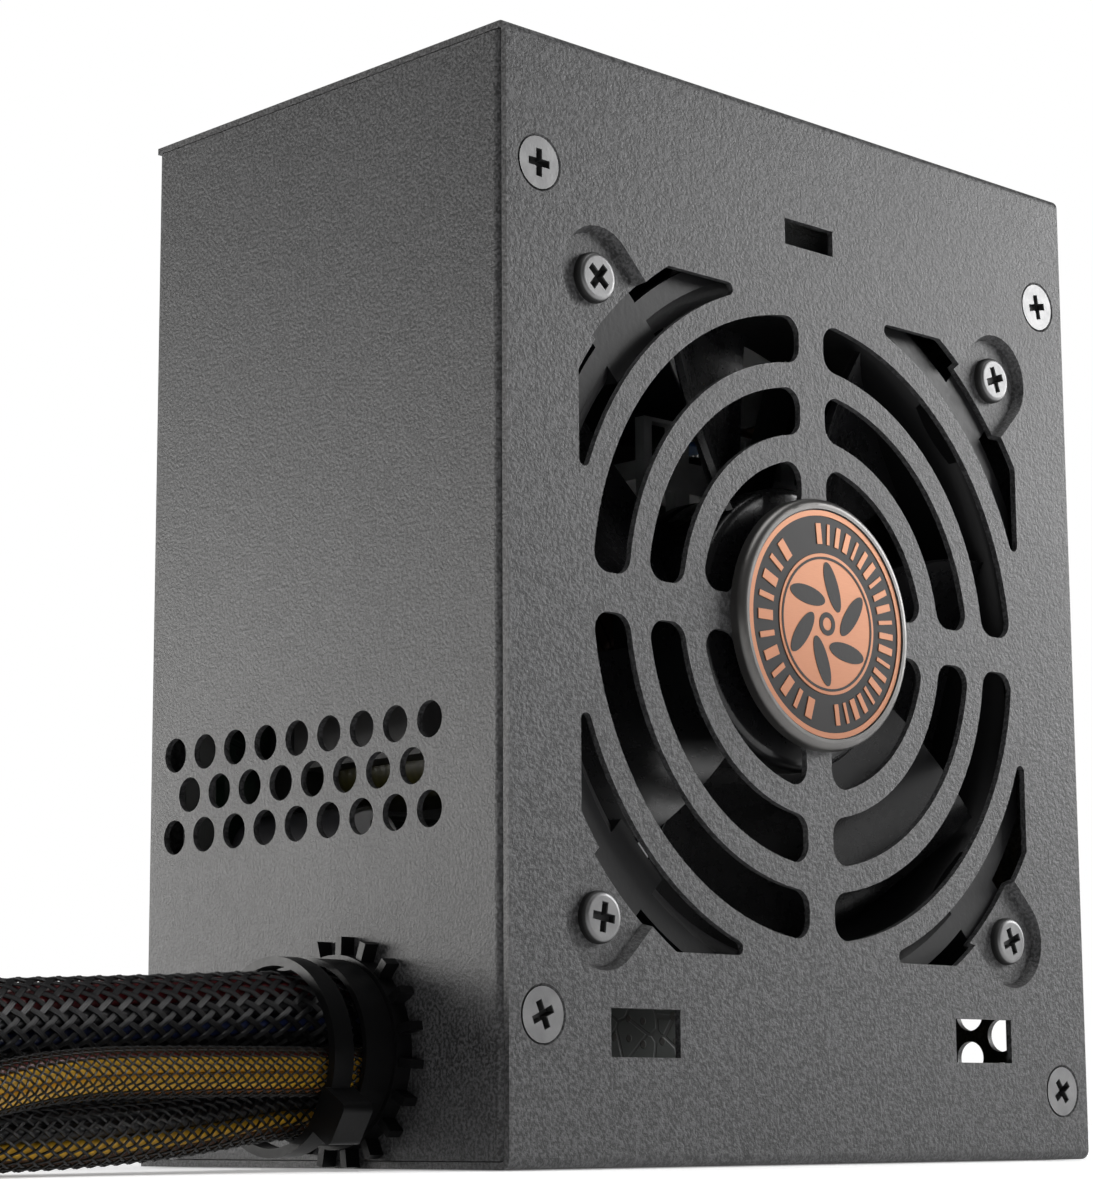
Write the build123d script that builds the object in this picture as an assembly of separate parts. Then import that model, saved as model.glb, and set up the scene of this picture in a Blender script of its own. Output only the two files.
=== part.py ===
from build123d import *
import math
import os

# A small-format computer power supply standing on one end.
# X runs from the cable wall (-) to the mains wall (+), Y from the fan wall (-) to the
# back (+), Z is up. The origin is the middle of the end that it stands on. Millimetres.

width = 100.0             # cable wall to mains wall
depth = 63.5              # fan wall to back
height = 125.0
sheet = 0.8               # steel
fold = 1.2                # outer radius of a fold
seam = 0.1                # between the cover and the tray

half_w = width / 2
half_d = depth / 2
fan_wall = -half_d
fan_wall_inside = fan_wall + sheet
back_inside = half_d - sheet
mid_z = height / 2

# fan and the grille in front of it
fan_size = 80.0
fan_deep = 15.0
fan_pitch = 71.5          # between the fan's screws
press_deep = 1.2          # how far the screw tabs are pressed in
fan_front = fan_wall_inside + press_deep
fan_rear = fan_front + fan_deep
screw_reach = fan_pitch / 2 * math.sqrt(2)
spoke_w = 4.4
slot_rings = [(14.0, 19.7), (22.8, 28.5), (31.5, 37.2)]
corner_ring = (40.2, 46.2)
corner_clip = 39.15
tab_outer_r = 5.8
tab_flat_r = 5.25
badge_r = 15.0
badge_thick = 1.8

# places of the four screws that hold the cover
cover_screw_places = [(-45.0, 109.5), (45.0, 109.5), (-45.0, 16.1), (45.0, 8.4)]
screw_head_r = 3.0
screw_shank_r = 1.45
screw_hole_r = 1.5
flange_w = 7.4

# cable wall: vents and the bushing
vent_r = 2.05
vent_pitch = 5.685
vent_rows = [(48.3, 9), (43.4, 8), (38.5, 9)]
vent_mid_y = 3.5
gland_y = -5.9
gland_z = 12.6
gland_bore_r = 9.45
gland_wall_r = 10.1
gland_fin_r = 12.5
gland_fins = 19
gland_out = 6.0           # how far it stands out of the wall
gland_hole_r = gland_wall_r + 0.1

# mains wall
mount_pitch_y = 51.5
mount_pitch_z = 113.0
mount_hole_r = 1.6
inlet_z = 96.0
inlet_body = (28.0, 20.0)   # along Z, along Y
inlet_cavity = (24.0, 15.6)
inlet_flange = (50.0, 23.0, 2.4)
inlet_screw_pitch = 40.0
inlet_deep = 17.0
switch_z = 54.0
switch_body = (18.8, 12.6)
switch_bezel = (21.0, 15.0, 1.6)
rocker_pivot_x = half_w - 0.7
rocker_half = 7.6
rocker_tilt = 10.0
mains_vent_r = 2.12
mains_vent_pitch = 5.62     # along Z, in each column
mains_vent_step = 5.05      # from column to column
mains_vent_columns = 9
mains_vent_first = (-19.07, 10.09)   # Y, Z of the lowest hole nearest the fan

# main board
board_thick = 1.6
board_back = 26.0
board_face = board_back - board_thick
board_x = 44.0
board_z = (5.0, 120.0)
board_hole_inset = 4.0
standoff_places = [
    (x, z)
    for x in (-board_x + board_hole_inset, board_x - board_hole_inset)
    for z in (board_z[0] + board_hole_inset, board_z[1] - board_hole_inset)
]

# output cables: radius, plug and the points that the middle of each one follows
main_route = [
    (-47, -5.9, 17.0), (-60, -5.9, 16.6), (-76, -6.0, 15.6), (-98, -7.4, 14.6), (-120, -13.2, 13.0),
    (-142, -22.6, 9.8), (-164, -26.5, 5.2), (-188, -21.5, 4.9), (-208, -6.5, 4.9), (-221, 15, 4.9),
    (-224, 41, 4.9), (-217, 66, 4.9), (-208, 89, 4.9), (-203, 110, 4.9),
]
drive_route = [
    (-47, -12.0, 10.3), (-61, -12.2, 10.3), (-76, -13.3, 10.2), (-95, -14.5, 9.8), (-113, -19.4, 6.4),
    (-134, -18.9, 2.8), (-158, -17.0, 2.8), (-184, -9.5, 2.8), (-205, 8.5, 2.8), (-212.5, 33, 2.8),
    (-208, 59, 2.8), (-193, 81, 2.8), (-170, 95, 2.8), (-147, 101, 2.8), (-126, 107, 2.8),
]
processor_route = [
    (-47, -6.9, 6.8), (-60, -7.2, 6.75), (-76, -10.1, 4.6), (-95, -12.8, 3.5), (-118, -11.0, 3.4),
    (-140, -10.0, 3.4), (-163, -9.0, 3.4), (-185, -0.5, 3.4), (-200, 17, 3.4), (-203.5, 40, 3.4),
    (-196, 62, 3.4), (-179, 77, 3.4), (-156, 84, 3.4), (-132, 83, 3.4), (-109, 86, 3.4),
]
graphics_route = [
    (-47, -0.8, 9.7), (-60, -0.9, 9.4), (-76, -2.6, 5.8), (-95, -4.4, 3.5), (-118, -3.6, 3.4),
    (-140, -2.4, 3.4), (-161, 0.5, 3.4), (-180, 9.5, 3.4), (-191, 26, 3.4), (-191, 46, 3.4),
    (-180, 62, 3.4), (-161, 69, 3.4), (-138, 66, 3.4), (-115, 61, 3.4), (-94, 62, 3.4),
]
cables = {
    "main": (4.8, main_route),
    "drive": (2.7, drive_route),
    "processor": (3.3, processor_route),
    "graphics": (3.3, graphics_route),
}
cell = 4.2                # pitch of the power plugs' contacts
plug_long = 20.0


def facing_front(y):
    """Plane whose local x is X, local y is Z and whose normal points out of the fan wall."""
    return Plane(origin=(0, y, 0), x_dir=(1, 0, 0), z_dir=(0, -1, 0))


def facing_side(x):
    """Plane whose local x is Y, local y is Z and whose normal is +X."""
    return Plane(origin=(x, 0, 0), x_dir=(0, 1, 0), z_dir=(1, 0, 0))


def on_board(x, z):
    """Place on the main board's component side: local z leads towards the fan."""
    return Plane(origin=(x, board_face, z), x_dir=(1, 0, 0), z_dir=(0, -1, 0)).location


def block(x0, x1, y0, y1, z0, z1):
    size = (x1 - x0, y1 - y0, z1 - z0)
    return Pos((x0 + x1) / 2, (y0 + y1) / 2, (z0 + z1) / 2) * Box(*size)


def along_y(x, z, y0, y1, r):
    """Round bar along Y."""
    middle = Plane(origin=(x, y0, z), x_dir=(1, 0, 0), z_dir=(0, 1, 0))
    return extrude(middle * Circle(r), y1 - y0)


def along_x(y, z, x0, x1, r):
    """Round bar along X."""
    return extrude(facing_side(x0) * (Pos(y, z) * Circle(r)), x1 - x0)


def tube_through(points, radii, r):
    """Round bar along straight runs joined by tangent arcs."""
    path = FilletPolyline(*points, radius=radii)
    start = Plane(origin=path @ 0, z_dir=path % 0)
    return sweep(start * Circle(r), path=path)


def bend_radii(points):
    """The largest arc at each corner that its two runs allow."""
    radii = []
    for before, here, after in zip(points, points[1:], points[2:]):
        a = Vector(*here) - Vector(*before)
        b = Vector(*after) - Vector(*here)
        half_turn = math.radians(a.get_angle(b)) / 2
        radii.append(0.45 * min(a.length, b.length) / math.tan(half_turn))
    return radii


# ---- housing ----

def grille_slots():
    """Openings of the grille, drawn about its middle."""
    cuts = Sketch()
    for r_in, r_out in slot_rings:
        ring = Circle(r_out) - Circle(r_in)
        ring -= Rectangle(2 * r_out + 2, spoke_w)
        ring -= Rectangle(spoke_w, 2 * r_out + 2)
        cuts += fillet(ring.vertices(), 2.2)
    corners = Circle(corner_ring[1]) - Circle(corner_ring[0])
    corners &= Rectangle(2 * corner_clip, 2 * corner_clip)
    cuts += fillet(corners.vertices(), 0.8)
    return cuts


def tab_outline(r, angle):
    """Round end about a fan screw with straight sides that lead towards the middle."""
    inner = corner_ring[1] - 1.6
    long = screw_reach - inner
    shape = Pos(screw_reach, 0) * Circle(r) + Pos(screw_reach - long / 2, 0) * Rectangle(long, 2 * r)
    return Rot(0, 0, angle) * shape


def pressed_tab(angle, grow):
    """Body of a pressed tab, larger by grow all round."""
    top = facing_front(fan_wall) * (Pos(0, mid_z) * tab_outline(tab_outer_r + grow, angle))
    low = facing_front(fan_wall + press_deep) * (Pos(0, mid_z) * tab_outline(tab_flat_r + grow, angle))
    return loft([top.face(), low.face()])


def make_cover():
    shell = block(-half_w, half_w, fan_wall, half_d, 0, height)
    shell = fillet(shell.edges().filter_by(Axis.X).group_by(Axis.Y)[0], fold)
    hollow = block(-half_w - 1, half_w + 1, fan_wall_inside, half_d + 1, sheet, height - sheet)
    hollow = fillet(hollow.edges().filter_by(Axis.X).group_by(Axis.Y)[0], fold - sheet)
    cover = shell - hollow
    for corner in range(4):
        angle = 45 + 90 * corner
        cover += Pos(0, sheet, 0) * pressed_tab(angle, 0.4)
        cover -= pressed_tab(angle, 0)
    through = facing_front(fan_wall - 1)
    cuts = Pos(0, mid_z) * grille_slots()
    for angle in range(45, 360, 90):
        place = Pos(0, mid_z) * Rot(0, 0, angle) * Pos(screw_reach, 0)
        cuts += place * Circle(2.0)
    cuts += Pos(0, 109.9) * Rectangle(8.7, 3.2)
    for x in (-29.5, 29.5):
        cuts += Pos(x, 14.4) * Rectangle(10.8, 5.25)
    cover -= extrude(through * cuts, -(sheet + press_deep + 3))
    for x, z in cover_screw_places:
        cover -= countersink(x, z, fan_wall, screw_head_r + 0.3, sheet)
    return cover


def countersink(x, z, y, r, deep):
    wide = Plane(origin=(x, y, z), x_dir=(1, 0, 0), z_dir=(0, 1, 0))
    return extrude(wide * Circle(r), deep, taper=45)


def tray_section():
    """Section of the tray, seen from above: cable wall, back and mains wall, with flanges."""
    front = fan_wall_inside + seam
    outside = Pos(0, (front + half_d) / 2) * Rectangle(width, half_d - front)
    outside = fillet(outside.vertices(), fold)
    inside = Pos(0, (front + half_d) / 2) * Rectangle(width - 2 * sheet, half_d - front - 2 * sheet)
    inside = fillet(inside.vertices(), fold - sheet)
    mouth = Pos(0, front) * Rectangle(2 * (half_w - flange_w), 4 * sheet)
    return outside - inside - mouth


def mains_vents():
    """Staggered holes of the mains wall, clear of all that is fixed to it."""
    keep_out = [
        (0, inlet_z, inlet_flange[1] / 2, inlet_flange[0] / 2),
        (0, switch_z, switch_bezel[1] / 2, switch_bezel[0] / 2),
        (mains_vent_first[0], 75, 0, 45),       # beside the fan only the lowest few
    ]
    first_y, first_z = mains_vent_first
    holes = Sketch()
    for column in range(mains_vent_columns):
        y = first_y + column * mains_vent_step
        z = first_z - (mains_vent_pitch / 2 if column % 2 else 0)
        while z < height - 7:
            near = any(
                abs(y - a) < b + mains_vent_r + 0.8 and abs(z - c) < d + mains_vent_r + 0.8
                for a, c, b, d in keep_out
            )
            if not near:
                holes += Pos(y, z) * Circle(mains_vent_r)
            z += mains_vent_pitch
    return holes


def make_tray():
    low = sheet + seam
    tray = extrude(Plane.XY.offset(low) * tray_section(), height - 2 * low)
    vents = Sketch()
    for z, count in vent_rows:
        for i in range(count):
            vents += Pos(vent_mid_y + (i - (count - 1) / 2) * vent_pitch, z) * Circle(vent_r)
    vents += Pos(gland_y, gland_z) * Circle(gland_hole_r)
    tray -= extrude(facing_side(-half_w - 1) * vents, sheet + 2)
    mains = mains_vents()
    for y in (-mount_pitch_y / 2, mount_pitch_y / 2):
        for z in (mid_z - mount_pitch_z / 2, mid_z + mount_pitch_z / 2):
            mains += Pos(y, z) * Circle(mount_hole_r)
    mains += Pos(0, inlet_z) * Rectangle(inlet_body[1] + 0.4, inlet_body[0] + 0.4)
    for side in (-1, 1):
        mains += Pos(0, inlet_z + side * inlet_screw_pitch / 2) * Circle(screw_hole_r)
    mains += Pos(0, switch_z) * Rectangle(switch_body[1] + 0.4, switch_body[0] + 0.4)
    tray -= extrude(facing_side(half_w + 1) * mains, -(sheet + 2))
    flange_face = fan_wall_inside + seam
    for x, z in cover_screw_places:
        tray -= along_y(x, z, flange_face - 1, flange_face + 3, screw_hole_r)
        tray -= countersink(x, z, flange_face, screw_head_r - sheet - seam + 0.2, sheet)
    return tray


def cross_recess(size, deep):
    cross = Rectangle(size, 0.28 * size) + Rectangle(0.28 * size, size)
    return extrude(cross, -deep, taper=12)


def flat_screw(long):
    """Flat-headed screw, its head's face at z = 0 and its shank down along -z."""
    cone = Pos(0, 0, -0.7) * Cone(screw_shank_r, screw_head_r, 1.4)
    screw = cone + Pos(0, 0, -long / 2) * Cylinder(screw_shank_r, long)
    return screw - cross_recess(3.2, 0.9)


def pan_screw(head_r, head_h, shank_r, long):
    """Round-headed screw, the underside of its head at z = 0."""
    head = Cylinder(head_r, head_h, align=(Align.CENTER, Align.CENTER, Align.MIN))
    head = fillet(head.edges().group_by(Axis.Z)[-1], head_h * 0.6)
    shank = Cylinder(shank_r, long, align=(Align.CENTER, Align.CENTER, Align.MAX))
    recess = Pos(0, 0, head_h) * cross_recess(1.15 * head_r, 0.7 * head_h)
    return head + shank - recess


def make_cover_screws():
    face = facing_front(fan_wall + 0.05)
    return Compound([face.location * Pos(x, z, 0) * Rot(0, 0, 12 * i) * flat_screw(5.5)
                     for i, (x, z) in enumerate(cover_screw_places)])


def make_fan_screws():
    face = facing_front(fan_wall + press_deep)
    screws = []
    for corner in range(4):
        angle = math.radians(45 + 90 * corner)
        place = Pos(screw_reach * math.cos(angle), mid_z + screw_reach * math.sin(angle), 0)
        screws.append(face.location * place * Rot(0, 0, 20 + 31 * corner) * pan_screw(2.9, 1.1, 1.75, 7))
    return Compound(screws)


def make_badge():
    face = facing_front(fan_wall)
    disc = extrude(Circle(badge_r), badge_thick)
    disc = fillet(disc.edges().group_by(Axis.Z)[-1], 0.9)
    dish = Pos(0, 0, badge_thick - 0.25) * Cylinder(badge_r - 1.3, 1, align=(Align.CENTER, Align.CENTER, Align.MIN))
    return face.location * Pos(0, mid_z, 0) * (disc - dish)


# ---- fan: drawn about its own axis with local z towards the back, 0 at its front ----

def fan_place():
    return Plane(origin=(0, fan_front, mid_z), x_dir=(1, 0, 0), z_dir=(0, 1, 0)).location


ring_r = 38.9
hub_r = 17.0
blade_tip_r = 38.1
blade_count = 7
blade_first = 45.5        # angle of the first blade
shaft_r = 1.5
bearing_r = 3.2
motor_base = 13.3         # where the fan's rear plate starts


def make_fan_frame():
    with BuildPart() as ring:
        with BuildSketch(Plane.XZ):
            with BuildLine():
                Polyline((42.0, 0), (44.5, 0), (44.5, 1.2), (40.6, 4.6), (40.6, fan_deep), (ring_r, fan_deep),
                         (ring_r, 5.0))
                TangentArc((ring_r, 5.0), (42.0, 0), tangent=(0, -1))
            make_face()
        revolve(axis=Axis.Z)
    square = extrude(RectangleRounded(fan_size, fan_size, 3.5), fan_deep)
    frame = ring.part & square
    for corner in range(4):
        lug = Rot(0, 0, 45 + 90 * corner) * Pos(48.2, 0, 0) * extrude(Rectangle(17.6, 9.0), fan_deep)
        lug = lug & square
        frame += lug - Cylinder(ring_r + 0.4, 3 * fan_deep)
    for corner in range(4):
        place = Rot(0, 0, 45 + 90 * corner) * Pos(screw_reach, 0, 0)
        frame -= place * Cylinder(1.85, 3 * fan_deep)
    base = Pos(0, 0, motor_base) * extrude(Circle(hub_r), fan_deep - motor_base)
    for angle in (20, 110, 200, 290):
        strut = Pos(27.9, 0, motor_base - 0.6) * extrude(Rectangle(23.8, 3.2), fan_deep - motor_base + 0.6)
        base += Rot(0, 0, angle) * strut
    tower = Pos(0, 0, 4.2) * extrude(Circle(4.6) - Circle(bearing_r), motor_base - 4.2)
    return fan_place() * (frame + base + tower)


def blade():
    """One blade, lofted through three sections that turn and lean with the radius."""
    sections = []
    for r, reach, lean, crown in ((15.8, 6.4, 0.0, 1.5), (27.0, 9.6, 1.0, 2.1), (39.6, 12.6, 4.0, 2.6)):
        plane = Plane(origin=(r, 0, 6.3), x_dir=(0, 1, 0), z_dir=(1, 0, 0))
        nose = (-reach + lean, -4.9)
        tail = (reach + lean, 4.9)
        middle = (lean, 0)
        thick = 0.62
        run = (tail[0] - nose[0], tail[1] - nose[1])
        size = math.hypot(*run)
        side = (-run[1] / size, run[0] / size)
        top = (middle[0] + side[0] * (crown + thick), middle[1] + side[1] * (crown + thick))
        low = (middle[0] + side[0] * (crown - thick), middle[1] + side[1] * (crown - thick))
        half = 0.4
        a = (nose[0] + side[0] * half, nose[1] + side[1] * half)
        b = (nose[0] - side[0] * half, nose[1] - side[1] * half)
        c = (tail[0] + side[0] * half, tail[1] + side[1] * half)
        d = (tail[0] - side[0] * half, tail[1] - side[1] * half)
        edges = [ThreePointArc(a, top, c), Line(c, d), ThreePointArc(d, low, b), Line(b, a)]
        sections.append(plane * make_face(Curve() + edges))
    return loft([s.face() for s in sections])


def make_rotor():
    cup = Pos(0, 0, 0.9) * extrude(Circle(hub_r), 10.7)
    cup = fillet(cup.edges().group_by(Axis.Z)[0], 1.2)
    cup -= Pos(0, 0, 2.2) * extrude(Circle(hub_r - 1.2), 12)
    cup += Pos(0, 0, 2.1) * extrude(Circle(3.6), 1.6)
    cup -= Cylinder(shaft_r, 3 * fan_deep)
    swept = extrude(Circle(blade_tip_r) - Circle(hub_r - 0.6), fan_deep)
    one = blade() & swept
    rotor = cup
    for i in range(blade_count):
        rotor += Rot(0, 0, blade_first + i * 360 / blade_count) * one
    return fan_place() * rotor


def make_magnet():
    ring = extrude(Circle(hub_r - 1.25) - Circle(hub_r - 2.8), 8.8)
    return fan_place() * Pos(0, 0, 2.3) * ring


def make_shaft():
    pin = extrude(Circle(shaft_r), 11.2)
    return fan_place() * Pos(0, 0, 1.5) * pin


def make_bearing():
    sleeve = extrude(Circle(bearing_r) - Circle(shaft_r + 0.05), 8.4)
    return fan_place() * Pos(0, 0, 4.3) * sleeve


def make_stator():
    core = Circle(6.6)
    for i in range(4):
        arm = Pos(8.6, 0) * Rectangle(7.0, 4.0)
        shoe = (Circle(13.4) - Circle(11.4)) & (Pos(13, 0) * Rectangle(9, 15.0))
        core += Rot(0, 0, 90 * i) * (arm + shoe)
    core -= Circle(4.65)
    return fan_place() * Pos(0, 0, 5.4) * extrude(core, 3.2)


def make_fan_coils():
    coils = []
    for i in range(4):
        coil = Box(3.2, 7.0, 5.6) - Box(5, 4.1, 3.3)
        coils.append(Rot(0, 0, 90 * i) * Pos(9.0, 0, 7.0) * coil)
    return fan_place() * Compound(coils)


def make_fan_board():
    board = extrude(Circle(14.4) - Circle(4.7), 1.0)
    board += Pos(9.6, 0, -0.5) * Box(3.0, 3.6, 1.2)
    return fan_place() * Pos(0, 0, 12.2) * board


# ---- main board and what stands on it ----

def make_board():
    board = block(-board_x, board_x, board_face, board_back, *board_z)
    for x, z in standoff_places:
        board -= along_y(x, z, board_face - 1, board_back + 1, 1.7)
    return board


def make_standoffs():
    posts = []
    for x, z in standoff_places:
        post = along_y(x, z, board_back, back_inside, 2.8) - along_y(x, z, board_back - 1, back_inside - 1, 1.3)
        posts.append(post)
    return Compound(posts)


def make_board_screws():
    return Compound([on_board(x, z) * pan_screw(2.7, 1.8, 1.25, 4.5) for x, z in standoff_places])


def make_insulation():
    sheet_y = back_inside - 1.6
    film = block(-board_x - 2, board_x + 2, sheet_y, sheet_y + 0.4, 3.0, 122.0)
    for x, z in standoff_places:
        film -= along_y(x, z, sheet_y - 1, sheet_y + 1, 3.2)
    return film


def can(r, long):
    """Capacitor: a sleeved can with a scored end."""
    body = extrude(Circle(r), long)
    body = fillet(body.edges().group_by(Axis.Z)[-1], 0.7)
    score = Rectangle(1.3 * r, 0.4) + Rectangle(0.4, 1.3 * r)
    return body - Pos(0, 0, long - 0.25) * extrude(score, 1)


def toroid(outer, inner, tall, turns):
    """Wound ring, with a groove between one turn and the next."""
    ring = extrude(Circle(outer) - Circle(inner), tall)
    ring = fillet(ring.edges(), 1.4)
    middle = (outer + inner) / 2
    for i in range(turns):
        turned = Rot(0, 0, i * 360 / turns)
        ring -= turned * Pos(middle, 0, tall) * Box(outer - inner + 4, 0.4, 0.8)
        ring -= turned * Pos(outer, 0, tall / 2) * Box(0.8, 0.4, tall + 2)
    return ring


def make_bulk_capacitor():
    return on_board(10, 104) * can(12.4, 34)


def make_output_capacitors():
    places = [(-38, 36.5, 5, 20), (-38, 25.5, 5, 20), (-28, 36, 4, 16), (-28, 26.5, 4, 16)]
    return Compound([on_board(x, z) * can(r, long) for x, z, r, long in places])


def make_transformer():
    """Wound bobbin with its tape, in the window of the core."""
    tape = Pos(0, 0, 14.4) * Box(17.0, 30.0, 20.0)
    tape = fillet(tape.edges().filter_by(Axis.Z), 4.0)
    foot = Pos(0, 0, 2.2) * Box(26.0, 31.0, 4.4)
    return on_board(-24, 58) * (tape + foot)


def make_transformer_core():
    core = Pos(0, 0, 16.0) * Box(26.0, 22.0, 23.0)
    window = Pos(0, 0, 14.5) * Box(17.4, 23.0, 20.0)
    return on_board(-24, 58) * (core - window)


def make_standby_transformer():
    tape = Pos(0, 0, 8.2) * Box(10.0, 15.0, 12.0)
    tape = fillet(tape.edges().filter_by(Axis.Z), 2.0)
    foot = Pos(0, 0, 1.1) * Box(15.0, 16.0, 2.2)
    core = Pos(0, 0, 8.2) * (Box(15.0, 8.0, 15.6) - Box(10.1, 9.0, 12.1))
    return on_board(-16, 105) * (tape + foot + core)


def make_correction_choke():
    return on_board(12, 61) * toroid(14.4, 5.4, 13.5, 26)


def make_output_choke():
    return on_board(-13, 16) * toroid(11.2, 4.0, 11.4, 20)


def make_filter_choke():
    return on_board(34.5, 72) * toroid(8.0, 2.6, 10.0, 16)


def heatsink(x0, x1, z_plate, z_low, z_high, top):
    """Upright plate with a slotted top flange, and fins on the flange's edges."""
    y_top = board_face - top
    sink = block(x0, x1, y_top, board_face, z_plate, z_plate + 2.4)
    sink += block(x0, x1, y_top, y_top + 1.6, z_low, z_high)
    long = x1 - x0
    for i in range(5):
        x = x0 + long * (i + 0.5) / 5
        for z in ((z_low + z_plate) / 2, (z_plate + 2.4 + z_high) / 2):
            sink -= block(x - long * 0.06, x + long * 0.06, y_top - 1, y_top + 2, z - 2.2, z + 2.2)
    return sink


def make_primary_heatsink():
    return heatsink(-6, 27, 83.0, 76.5, 90.8, 34.0)


def make_secondary_heatsink():
    return heatsink(-20, 14, 35.0, 29.0, 43.0, 33.0)


def power_package():
    """Three-legged transistor standing on its legs, its tab against z = 0 of local y."""
    body = Pos(0, -2.3, 13.0) * Box(10.0, 4.5, 9.0)
    tab = Pos(0, -0.7, 20.2) * (Box(10.0, 1.3, 6.4) - Rot(90, 0, 0) * Cylinder(1.8, 4))
    legs = [Pos(x, -2.6, 4.3) * Box(0.8, 0.6, 8.6) for x in (-2.54, 0, 2.54)]
    return Compound([body + tab + legs])


def make_transistors():
    return Compound([on_board(x, 82.95) * power_package() for x in (0.0, 11.0, 22.0)])


def make_rectifiers():
    return Compound([on_board(x, 34.95) * power_package() for x in (-13.0, -2.0, 9.0)])


def make_bridge():
    body = Pos(0, 2.2, 16.0) * Box(22.0, 4.2, 15.0)
    body = chamfer(body.edges().filter_by(Axis.Y).group_by(Axis.X)[0], 2.0)
    legs = [Pos(x, 2.2, 4.3) * Box(1.2, 0.8, 8.6) for x in (-7.6, -2.5, 2.5, 7.6)]
    return on_board(6, 85.45) * (body + legs)


def make_film_capacitor():
    body = Pos(0, 0, 7.5) * Box(10.0, 18.0, 15.0)
    return on_board(36, 29) * fillet(body.edges(), 0.7)


def make_disc_capacitors():
    discs = []
    for x, z in ((31, 90), (31, 98)):
        disc = Rot(90, 0, 0) * Pos(0, 5.6, 0) * fillet(extrude(Circle(4.2), 1.6, both=True).edges(), 1.2)
        legs = [Pos(a, 0, 1.3) * Box(0.6, 0.6, 2.6) for a in (-2.5, 2.5)]
        discs.append(on_board(x, z) * (disc + legs))
    return Compound(discs)


def make_varistor():
    disc = Rot(90, 0, 0) * Pos(0, 8.0, 0) * fillet(extrude(Circle(5.6), 2.0, both=True).edges(), 1.4)
    legs = [Pos(a, 0, 2.3) * Box(0.8, 0.8, 4.6) for a in (-3.7, 3.7)]
    return on_board(32, 115) * (disc + legs)


def make_fuse():
    glass = Rot(90, 0, 0) * Pos(0, 3.6, 0) * extrude(Circle(2.4), 6.4, both=True)
    caps = Rot(90, 0, 0) * Pos(0, 3.6, 0) * (extrude(Circle(2.7), 8.0, both=True) - extrude(Circle(2.4), 4.6, both=True))
    legs = [Pos(0, a, 0.8) * Box(0.8, 0.8, 1.6) for a in (-7, 7)]
    return on_board(41, 104) * (glass + caps + legs)


def make_control_board():
    card = Pos(0, 0, 12.0) * Box(1.4, 28.0, 24.0)
    chip = Pos(-1.5, 2, 13.0) * Box(1.8, 9.0, 6.4)
    chips = [chip, Pos(-1.3, -9, 15.0) * Box(1.4, 4.0, 5.0), Pos(1.5, -3, 16.0) * Box(1.8, 6.0, 4.4)]
    header = Pos(2.2, 9.5, 4.0) * Box(3.2, 6.4, 7.8)
    return on_board(-32, 101) * (card + chips + header)


# ---- wires held inside the housing ----

def make_fan_lead():
    """Two wires from the fan's board along a strut, then down to the header on the control card."""
    wires = []
    for shift in (0.0, 1.7):
        points = [
            (-13.0 + shift, fan_rear + 1.0, mid_z + 6.0), (-22.0, fan_rear + 1.4 + shift, mid_z + 15.0),
            (-29.8, fan_rear + 4.0 + shift, mid_z + 30.0), (-28.1 - shift, 7.5, 112.6),
            (-28.1 - shift, 13.6, 112.6),
        ]
        wires.append(tube_through(points, [2.5, 3.0, 2.0], 0.75))
    return Compound(wires)


def make_fan_plug():
    body = block(-31.2, -27.2, 12.6, 16.4, 109.2, 114.2)
    for x in (-29.8, -28.1):
        body -= along_y(x, 112.6, 12, 14.5, 0.9)
    return body


def make_output_wires():
    """Wires from the bushing's inner end to their pads on the board."""
    wires = []
    starts = [(-7.5, 18.4), (-3.6, 16.6), (-12.0, 10.3), (-6.9, 6.8), (-0.8, 9.7)]
    pads = [(-38, 16.0), (-34, 13.0), (-30, 9.5), (-26, 8.5), (-34, 8.0)]
    for (y, z), (x, pad_z) in zip(starts, pads):
        r = 1.7 if z > 14 else 1.5
        points = [(-46.2, y, z), (x - 3.0, y + 2.0, z + 0.4), (x, board_face - 9.0, pad_z), (x, board_face - 0.1, pad_z)]
        wires.append(tube_through(points, [3.5, 3.0], r))
    return Compound(wires)


def make_mains_wires():
    """Three wires from the inlet's tags and the switch's tags to the board."""
    runs = [
        [(27.4, -3.0, inlet_z - 7), (24.3, -1.5, inlet_z - 6.5), (25.0, 12.0, inlet_z - 3.5), (26.6, 23.6, inlet_z - 2)],
        [(27.4, 3.0, inlet_z), (24.3, 3.8, inlet_z + 1), (25.2, 14.0, inlet_z + 7), (25.5, 23.6, inlet_z + 8)],
        [(30.4, 0, switch_z + 5), (27.3, 0.5, switch_z + 5.5), (25.5, 9.0, switch_z + 16), (24.6, 23.6, switch_z + 21)],
    ]
    return Compound([tube_through(points, [1.6, 2.4], 1.1) for points in runs])


# ---- mains inlet, switch and bushing ----

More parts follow.
